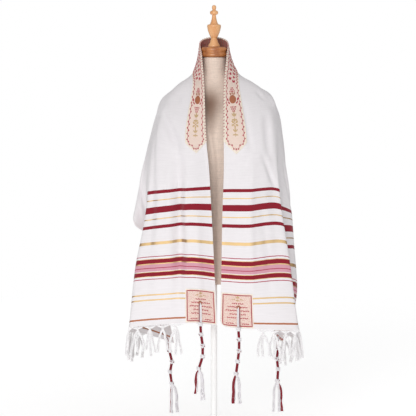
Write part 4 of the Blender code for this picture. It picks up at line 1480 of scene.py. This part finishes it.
class TallitSewPatches(bpy.types.Operator):
    """Sew the four brocade corner patches on the shawl and embroider them"""
    bl_idname = "tallit.sew_patches"
    bl_label = "Sew the corner patches"

    def execute(self, context):
        for tassel in TASSELS:
            self.sew(context, tassel)
        return {"FINISHED"}

    def sew(self, context, tassel):
        """One patch with its frame, rows, sprig and eyelet."""
        trim = context.scene.tallit_trim
        middle_out = context.scene.tallit_cloth.wall / 2 + SEAM_GAP + trim.wall / 2
        face_out = middle_out + trim.wall / 2
        alongs = sorted(along_at(tassel.end, PATCH_INSET + height) for height in (0, PATCH_HEIGHT))
        low = min(across_at(tassel.edge, PATCH_INSET + width) for width in (0, PATCH_WIDTH))
        columns = [low] + even_steps(low, low + PATCH_WIDTH, 3.2 * MM)
        rows = [(a, columns) for a in alongs[:1] + even_steps(*alongs, 3.2 * MM)]

        def place(along, across):
            return cloth_point(along, across, middle_out)

        def weave(along, across):
            return across, HALF_LENGTH - abs(along)

        def edge_distance(across, above):
            sideways = min(across - low, low + PATCH_WIDTH - across)
            upright = min(above - PATCH_INSET, PATCH_INSET + PATCH_HEIGHT - above)
            return max(0.0, min(sideways, upright)) + 2 * MM

        def on_patch(x, y, out):
            across = across_at(tassel.edge, PATCH_INSET + PATCH_WIDTH / 2 + x)
            return cloth_point(along_at(tassel.end, PATCH_INSET + y), across, face_out + out)

        name = "patch_" + tassel.place
        patch = lay_sheet(name + "_brocade", rows, place, trim.wall, weave)
        store_edge_distance(patch, edge_distance)
        patch.data.materials.append(finish("patch brocade"))
        place_on_frame(patch, "brocade", name)

        skeins = [Skein() for _ in EMBROIDERY]
        crimson, gold, copper, sewing = skeins
        self.edging(on_patch, crimson)
        self.rows(on_patch, crimson)
        self.crest(on_patch, gold)
        self.eyelet(on_patch, copper)
        sew_run(sewing, rectangle_run(*alongs, low, low + PATCH_WIDTH, 1.4 * MM), face_out)
        place_embroidery(name, skeins, ("_crimson_embroidery", "_gold_embroidery", "_eyelet", "_stitches"))

    def edging(self, on_patch, crimson):
        """Two threads side by side, couched round the patch just inside its edge."""
        thread = bpy.context.scene.tallit_trim.thread
        for inset in (4.0 * MM, 5.4 * MM):
            half = PATCH_WIDTH / 2 - inset
            high = PATCH_HEIGHT - inset
            corners = [(-half, inset), (half, inset), (half, high), (-half, high)]
            couch_round(crimson, corners, on_patch, 6 * MM, thread * 0.6, thread)

    def rows(self, on_patch, crimson):
        """Rows of small leaves and lozenges, parted in the middle for the cord."""
        rise = bpy.context.scene.tallit_trim.satin * 0.8
        for index, row in enumerate(PATCH_ROWS):
            for side in (-1, 1):
                for step in range(math.ceil((row.end - row.start) / PATCH_ROW_STEP)):
                    centre = (side * (row.start + step * PATCH_ROW_STEP) * MM, row.above * MM)
                    kind = (step + index) % 3
                    if kind == 0:
                        shape = lozenge_shape(5.8 * MM, 4.8 * MM, centre)
                    else:
                        shape = leaf_shape(6.2 * MM, 3.0 * MM, side * (58 if kind == 1 else 118), centre)
                    crimson.add_satin(shape, on_patch, rise)

    def crest(self, on_patch, gold):
        """A gold sprig between two buds, at the top of the patch."""
        rise = bpy.context.scene.tallit_trim.satin

        def raised(x, y, out):
            return on_patch(x, 84 * MM - y, out)

        sprig(raised, gold, rise, 1.3 * MM)
        for side in (-1, 1):
            gold.add_satin(round_shape(2.2 * MM, 0.1, (side * 9.5 * MM, 81 * MM), 10), on_patch, rise)
            gold.add_satin(leaf_shape(7 * MM, 2 * MM, side * 62, (side * 14.6 * MM, 80 * MM)), on_patch, rise)

    def eyelet(self, on_patch, copper):
        """Buttonhole stitches round the eyelet, radial and close together."""
        thread = bpy.context.scene.tallit_trim.thread * 0.8
        centre_x = EYELET_FROM_EDGE - PATCH_INSET - PATCH_WIDTH / 2
        centre_y = EYELET_ABOVE_HEM - PATCH_INSET
        for i in range(EYELET_STITCHES):
            turn = 2 * math.pi * i / EYELET_STITCHES
            path = []
            for reach, out in ((2.2, -0.2), (3.0, 0.7), (5.4, 0.7), (6.2, -0.1)):
                x = centre_x + math.cos(turn) * reach * MM
                y = centre_y + math.sin(turn) * reach * MM
                path.append(on_patch(x, y, out * MM))
            copper.add_yarn(path, thread, sides=5)


# The tassels

def strand_route(tassel, out, spread, rise):
    """One cord from the eyelet down to the first knot, on one face of the corner."""
    route = []
    steps = 14
    for i in range(steps + 1):
        share = i / steps
        from_edge = EYELET_FROM_EDGE + (tassel.leaves_hem * MM - EYELET_FROM_EDGE) * share
        across = across_at(tassel.edge, from_edge + spread * min(1.0, 0.35 + share * 5))
        along = along_at(tassel.end, EYELET_ABOVE_HEM * (1 - share))
        lifted = out * min(1.0, 0.15 + share * 9) + rise * math.sin(share * math.pi)
        route.append(cloth_point(along, across, lifted))
    return route


def knot_places(tassel):
    """The middles of a tassel's knots, from the hem down."""
    across = across_at(tassel.edge, tassel.leaves_hem * MM)
    first = cloth_point(along_at(tassel.end, 0.0), across, 7.5 * MM) + Vector((0, 0, -1 * MM))
    return [first + Vector((sway * MM, 0, -drop)) for sway, drop in zip(tassel.sway, KNOT_DROPS)]


def smooth_route(points, steps):
    """A smooth path through a few points."""
    reach = running_lengths(points)
    return [smooth_curve(reach, points, reach[-1] * i / steps) for i in range(steps + 1)]


class TallitTieTassels(bpy.types.Operator):
    """Thread the cords through the eyelets, knot and wind them, and let their ends hang"""
    bl_idname = "tallit.tie_tassels"
    bl_label = "Tie the tassels"

    def execute(self, context):
        shuffle = random.Random(41)
        for tassel in TASSELS:
            white = Skein()
            crimson = Skein()
            self.thread(tassel, white, crimson)
            self.knot_and_wind(tassel, white, crimson)
            self.hang(tassel, white, crimson, shuffle)
            name = "tassel_" + tassel.place
            place_on_frame(white.make(name + "_white", finish("white cord")), "tassel_cord", name)
            place_on_frame(crimson.make(name + "_crimson", finish("crimson cord")), "tassel_cord", name)
        return {"FINISHED"}

    def thread(self, tassel, white, crimson):
        """Four cords lie over the patch and four behind the corner, one in each four dyed."""
        cord = bpy.context.scene.tallit_tassel.cord
        half_wall = bpy.context.scene.tallit_cloth.wall / 2
        trim = bpy.context.scene.tallit_trim
        first = knot_places(tassel)[0]
        face = half_wall + SEAM_GAP + trim.wall + trim.satin + cord
        back = half_wall + cord + 0.4 * MM
        for reach, outwards, dyed, quarter in ((face, 1, 3, 0.5), (back, -1, 1, 0)):
            for k in range(4):
                rise = (0.9 * MM if k % 2 else 0.2 * MM) * outwards
                route = strand_route(tassel, reach * outwards, (k - 1.5) * cord * 1.75, rise)
                turn = 2 * math.pi * (k + quarter) / 4
                route.append(first + Vector((math.cos(turn), math.sin(turn), 0)) * 1.6 * MM)
                (crimson if k == dyed else white).add_yarn(route, cord)

    def knot_and_wind(self, tassel, white, crimson):
        """Five knots with a close winding between each two."""
        settings = bpy.context.scene.tallit_tassel
        knots = knot_places(tassel)
        for i, knot in enumerate(knots):
            axis = (knots[max(i - 1, 0)] - knots[min(i + 1, len(knots) - 1)]).normalized()
            # Each knot is pulled a little askew, so no two look alike.
            askew = (axis + Vector((math.sin(i * 2.3), math.cos(i * 1.7), 0)) * 0.25).normalized()
            ring = KNOT_RADIUS * (0.78 + 0.08 * math.sin(i * 3.1))
            white.add_yarn(knot_curve(knot, askew, ring, 1.7 * MM, KNOT_HALF_HEIGHT - 0.6 * MM), KNOT_YARN)
            core = [knot + axis * KNOT_HALF_HEIGHT * s for s in (1.0, 0.5, -0.5, -1.0)]
            white.add_yarn(core, [3.8 * MM, 5.4 * MM, 5.4 * MM, 3.8 * MM], sides=8)
            if i in CROSSED_KNOTS:
                direction = directions_round(axis)
                loop = []
                for step in range(9):
                    flat = direction(math.pi * (0.2 + 0.8 * step / 8) + i)
                    loop.append(knot + flat * (KNOT_RADIUS + 1.4 * MM) + axis * (4 - step) * 0.9 * MM)
                crimson.add_yarn(loop, 0.9 * MM, sides=5)
        for above, below in zip(knots, knots[1:]):
            axis = (below - above).normalized()
            start = above + axis * (KNOT_HALF_HEIGHT + 1.2 * MM)
            length = (below - above).length - 2 * (KNOT_HALF_HEIGHT + 1.2 * MM)
            crimson.add_yarn([start, start + axis * length], settings.core, sides=10)
            direction = directions_round(axis)
            turns = length / (settings.winding * 2.02)
            steps = math.ceil(turns * 14)
            wound = settings.core + settings.winding * 0.45
            coil = []
            for i in range(steps + 1):
                flat = direction(2 * math.pi * turns * i / steps)
                coil.append(start + axis * length * i / steps + flat * wound)
            crimson.add_yarn(coil, settings.winding)

    def hang(self, tassel, white, crimson, shuffle):
        """The loose ends below the last knot, in loose bundles that spread at their foot."""
        yarn = bpy.context.scene.tallit_tassel.tail
        foot = knot_places(tassel)[-1] + Vector((0, 0, -KNOT_HALF_HEIGHT + 1.5 * MM))
        for tail in tassel.tails:
            drift = tail.drift * MM
            length = tail.length * MM
            deep = shuffle.uniform(-3, 3) * MM
            points = []
            for aside, forward, down in TAIL_BENDS:
                points.append(foot + Vector((drift * aside, deep * forward, -length * down)))
            skein = crimson if tail.colour == "crimson" else white
            bundle = yarn * (0.3 + 0.26 * tail.yarns)
            twisted_bundle(skein, smooth_route(points, 22), tail.yarns, yarn, bundle, 110 * MM, shuffle,
                           tail.flare)


# The fringes

class TallitKnotFringes(bpy.types.Operator):
    """Gather the fringe yarns in knots below each end's hem and let them hang"""
    bl_idname = "tallit.knot_fringes"
    bl_label = "Knot the fringes"

    def execute(self, context):
        shuffle = random.Random(7)
        for end in ("left", "right"):
            skein = Skein()
            pitch = (CUT_WIDTH - 2 * FRINGE_MARGIN) / FRINGE_KNOTS
            for knot in range(FRINGE_KNOTS):
                centre = FRINGE_MARGIN + pitch * (knot + 0.5) + shuffle.uniform(-3, 3) * MM
                self.knot_group(skein, end, centre, pitch, shuffle)
            fringe = skein.make("fringe_" + end + "_yarns", finish("fringe"))
            place_on_frame(fringe, "fringe_yarn", "fringe_" + end)
        return {"FINISHED"}

    def knot_group(self, skein, end, centre, pitch, shuffle):
        """The yarns of one knot: gathered from the hem, tied, then hanging in uneven legs."""
        settings = bpy.context.scene.tallit_fringe
        down = Vector((0, 0, -1))
        hem_along = along_at(end, 0.0)
        hem = cloth_point(hem_along, centre)
        over_hem, normal = surface_directions(hem_along, centre)[1:]
        outward = Vector((normal.x, normal.y, 0)).normalized()
        depth = settings.depth * shuffle.uniform(0.8, 1.25)
        knot = hem + down * depth + outward * 1.0 * MM
        for k in range(settings.gathered):
            share = k / (settings.gathered - 1) - 0.5
            across = centre + share * pitch * 0.92
            root = cloth_point(along_at(end, 2 * MM), across)
            leave = cloth_point(hem_along, across) + down * 2 * MM
            near = knot + over_hem * share * 5 * MM - down * 2.5 * MM
            middle = leave.lerp(near, 0.5) + down * 0.8 * MM
            path = smooth_route([root, leave, middle, near, knot + down * 1 * MM], 9)
            skein.add_yarn(path, settings.yarn * 0.8, sides=5)
        curve = knot_curve(knot, -down, 1.9 * MM, 1.1 * MM, 2.6 * MM, steps=36)
        skein.add_yarn(curve, 1.35 * MM, sides=5)
        legs = shuffle.choice([2, 3, 3])
        for leg in range(legs):
            share = leg / (legs - 1) - 0.5 + shuffle.uniform(-0.1, 0.1)
            length = settings.length * shuffle.uniform(0.84, 1.14)
            lean = share * shuffle.uniform(24, 38) * MM
            forward = shuffle.uniform(0.02, 0.13) * length
            bow = shuffle.uniform(-3, 3) * MM
            points = [
                knot + over_hem * share * 2 * MM + down * 1.5 * MM,
                knot + over_hem * (lean * 0.42) + outward * forward * 0.3 + down * length * 0.2,
                knot + over_hem * (lean * 0.82 + bow) + outward * forward * 0.6 + down * length * 0.52,
                knot + over_hem * lean + outward * forward * 0.9 + down * length * 0.78,
                knot + over_hem * (lean - bow) + outward * forward + down * length,
            ]
            yarns = shuffle.choice([4, 5])
            twisted_bundle(skein, smooth_route(points, 18), yarns, settings.yarn, settings.yarn * 1.45,
                           shuffle.uniform(60, 90) * MM, shuffle, shuffle.uniform(1.0, 1.4))


# The dress form and its stand

def start_ring(name, sides, radius, height):
    """A level disc that the lofted and turned pieces are extruded from."""
    deselect()
    bpy.ops.mesh.primitive_circle_add(vertices=sides, radius=radius, fill_type="NGON",
                                      location=(0, 0, height))
    ring = name_piece(bpy.context.object, name)
    bpy.ops.object.transform_apply(location=True, rotation=True, scale=True)
    return ring


def extrude_ring(move, scale, centre):
    """Extrude the selected ring by a move, then resize it about its new centre."""
    bpy.ops.mesh.extrude_region_move(TRANSFORM_OT_translate={"value": move})
    bpy.ops.transform.resize(value=scale, center_override=centre)


def close_and_smooth(piece, angle):
    """Merge doubles, turn the faces out and smooth a piece that is in edit mode."""
    bpy.ops.mesh.select_all(action="SELECT")
    bpy.ops.mesh.remove_doubles(threshold=0.02 * MM)
    bpy.ops.mesh.normals_make_consistent(inside=False)
    bpy.ops.object.mode_set(mode="OBJECT")
    make_active(piece)
    bpy.ops.object.shade_smooth_by_angle(angle=math.radians(angle))


class TallitCoverForm(bpy.types.Operator):
    """Build the linen torso from its level sections"""
    bl_idname = "tallit.cover_form"
    bl_label = "Cover the form"

    def execute(self, context):
        first = TORSO[0]
        torso = start_ring("form_torso_linen", 48, first.half_width * MM, first.height * MM)
        bpy.ops.object.mode_set(mode="EDIT")
        bpy.ops.mesh.select_all(action="SELECT")
        centre = (0, first.back * MM, first.height * MM)
        bpy.ops.transform.translate(value=(0, first.back * MM, 0))
        bpy.ops.transform.resize(value=(1, first.half_depth / first.half_width, 1), center_override=centre)
        for low, high in zip(TORSO, TORSO[1:]):
            move = (0, (high.back - low.back) * MM, (high.height - low.height) * MM)
            scale = (high.half_width / low.half_width, high.half_depth / low.half_depth, 1)
            extrude_ring(move, scale, (0, high.back * MM, high.height * MM))
        close_and_smooth(torso, 60)
        smooth = torso.modifiers.new("Padding", "SUBSURF")
        smooth.levels = 2
        smooth.render_levels = 2
        apply_modifiers(torso)
        torso.data.materials.append(finish("linen"))
        place_on_frame(torso, "linen", "form_torso")
        return {"FINISHED"}


def turn_on_lathe(name, profile, foot, wood):
    """A turned piece, extruded ring by ring up a smooth profile."""
    points = [Vector(p) * MM for p in profile]
    reach = running_lengths(points)
    rings = [smooth_curve(reach, points, r) for r in [0.0] + even_steps(0.0, reach[-1], TURNING_STEP)]
    piece = start_ring(name, TURNING_SIDES, rings[0].x, foot * MM + rings[0].y)
    bpy.ops.object.mode_set(mode="EDIT")
    bpy.ops.mesh.select_all(action="SELECT")
    for low, high in zip(rings, rings[1:]):
        scale = high.x / low.x
        extrude_ring((0, 0, high.y - low.y), (scale, scale, 1), (0, 0, foot * MM + high.y))
    close_and_smooth(piece, 40)
    piece.data.materials.append(finish(wood))
    return piece


class TallitTurnWood(bpy.types.Operator):
    """Turn the wooden neck cap and the finial"""
    bl_idname = "tallit.turn_wood"
    bl_label = "Turn the wood"

    def execute(self, context):
        cap = turn_on_lathe("neck_cap_turned", NECK_CAP, NECK_CAP_FOOT, "cap wood")
        place_on_frame(cap, "turned_wood", "neck_cap")
        finial = turn_on_lathe("finial_turned", FINIAL, FINIAL_FOOT, "finial wood")
        place_on_frame(finial, "pale_wood", "finial")
        return {"FINISHED"}


class TallitCoatStand(bpy.types.Operator):
    """Give the pole and the base plate their powder coat"""
    bl_idname = "tallit.coat_stand"
    bl_label = "Coat the stand"

    def execute(self, context):
        for node in ("stand_pole", "stand_base"):
            for slot in frame["nodes"][node].material_slots:
                slot.material = finish("powder coat")
        return {"FINISHED"}


class TallitDeclareCloth(bpy.types.Operator):
    """Find the shawl's brocade patches, its neckband and the pieces sewn or knotted on it"""
    bl_idname = "tallit.declare_cloth"
    bl_label = "State the cuts"

    def execute(self, context):
        pieces = bpy.data.objects
        patches = [pieces["patch_" + tassel.place + "_brocade"] for tassel in TASSELS]
        band = pieces["neckband_brocade"]
        sewn = [piece for piece in pieces if piece.name.startswith(SEWN_ON) and "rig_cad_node" not in piece
                and piece not in patches and piece != band]
        return {"FINISHED"}


# The stage

def add_light(name, kind, energy, turn, angle):
    """A broad soft light that shines from one direction."""
    lamp = bpy.data.lights.new(name, kind)
    lamp.energy = energy
    lamp.angle = math.radians(angle)
    light = bpy.data.objects.new(name, lamp)
    light.rotation_euler = [math.radians(t) for t in turn]
    bpy.context.collection.objects.link(light)
    return light


class TallitSetStage(bpy.types.Operator):
    """Lay the floor, set the lights and place the camera"""
    bl_idname = "tallit.set_stage"
    bl_label = "Set the stage"

    def execute(self, context):
        stage = context.scene.tallit_stage
        deselect()
        bpy.ops.mesh.primitive_circle_add(vertices=128, radius=stage.floor_radius, fill_type="NGON",
                                          location=(0, 0, 0))
        floor = name_piece(context.object, "studio_floor")
        floor.data.materials.append(finish("floor"))
        floor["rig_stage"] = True
        add_light("key_light", "SUN", stage.key, (79, 0, -15), 36)
        add_light("fill_light", "SUN", stage.fill, (34, 0, 24), 70)
        self.light_the_room(context, stage)
        self.place_camera(context)
        context.scene.view_settings.view_transform = "Standard"
        return {"FINISHED"}

    def light_the_room(self, context, stage):
        """An even white room: bright behind the object, softer as a light."""
        world = bpy.data.worlds.new("studio_room")
        world.use_nodes = True
        tree = world.node_tree
        tree.nodes.clear()
        seen = add_node(tree, "LightPath", output="Is Camera Ray")
        strength = add_node(tree, "Mix", {0: seen, 2: stage.ambient, 3: 1.0}, data_type="FLOAT")
        room = add_node(tree, "Background", {"Color": (1, 1, 1, 1), "Strength": strength})
        add_node(tree, "OutputWorld", {"Surface": room})
        context.scene.world = world

    def place_camera(self, context):
        """The photograph's viewpoint."""
        lens = bpy.data.cameras.new("photo_camera")
        lens.sensor_width = SENSOR
        lens.lens = SENSOR * VIEW_DISTANCE / (VIEW_SCALE * PICTURE_WIDTH)
        lens.dof.use_dof = False
        camera = bpy.data.objects.new("photo_camera", lens)
        tilt = math.radians(VIEW_ELEVATION)
        camera.location = (VIEW_TARGET[0], -VIEW_DISTANCE * math.cos(tilt),
                           VIEW_TARGET[1] + VIEW_DISTANCE * math.sin(tilt))
        camera.rotation_euler = (math.pi / 2 - tilt, 0, 0)
        context.collection.objects.link(camera)
        context.scene.camera = camera


GROUPS = [
    ("tallit_cloth", TallitClothSettings), ("tallit_trim", TallitTrimSettings),
    ("tallit_tassel", TallitTasselSettings), ("tallit_fringe", TallitFringeSettings),
    ("tallit_form", TallitFormSettings), ("tallit_stage", TallitStageSettings),
]
OPERATORS = [
    TallitWeaveShawl, TallitSewNeckband, TallitBindNeck, TallitSewPatches, TallitTieTassels,
    TallitKnotFringes, TallitCoverForm, TallitTurnWood, TallitCoatStand, TallitDeclareCloth, TallitSetStage,
]


class TallitPanel(bpy.types.Panel):
    """The sidebar page with the settings and the steps"""
    bl_idname = "VIEW3D_PT_tallit"
    bl_label = "Tallit on a dress form"
    bl_space_type = "VIEW_3D"
    bl_region_type = "UI"
    bl_category = "Tallit"

    def draw(self, context):
        for name, group in GROUPS:
            box = self.layout.box()
            box.label(text=group.__doc__)
            for key in group.__annotations__:
                box.prop(getattr(context.scene, name), key)
        for operator in OPERATORS:
            self.layout.operator(operator.bl_idname)


def register():
    """Register the settings, the steps and the panel."""
    for name, group in GROUPS:
        bpy.utils.register_class(group)
        setattr(bpy.types.Scene, name, PointerProperty(type=group))
    for operator in OPERATORS:
        bpy.utils.register_class(operator)
    bpy.utils.register_class(TallitPanel)


def unregister():
    """Undo register, in reverse."""
    bpy.utils.unregister_class(TallitPanel)
    for operator in reversed(OPERATORS):
        bpy.utils.unregister_class(operator)
    for name, group in reversed(GROUPS):
        delattr(bpy.types.Scene, name)
        bpy.utils.unregister_class(group)


def main():
    """Register everything, run each step in order and work out both boxes."""
    register()
    bpy.ops.tallit.weave_shawl()
    bpy.ops.tallit.sew_neckband()
    bpy.ops.tallit.bind_neck()
    bpy.ops.tallit.sew_patches()
    bpy.ops.tallit.tie_tassels()
    bpy.ops.tallit.knot_fringes()
    bpy.ops.tallit.cover_form()
    bpy.ops.tallit.turn_wood()
    bpy.ops.tallit.coat_stand()
    bpy.ops.tallit.declare_cloth()
    bpy.ops.tallit.set_stage()
    boxes = {"cad": CAD_BOX, "visual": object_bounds()}
    {name: [list(corner) for corner in box] for name, box in boxes.items()}


if __name__ == "__main__":
    main()
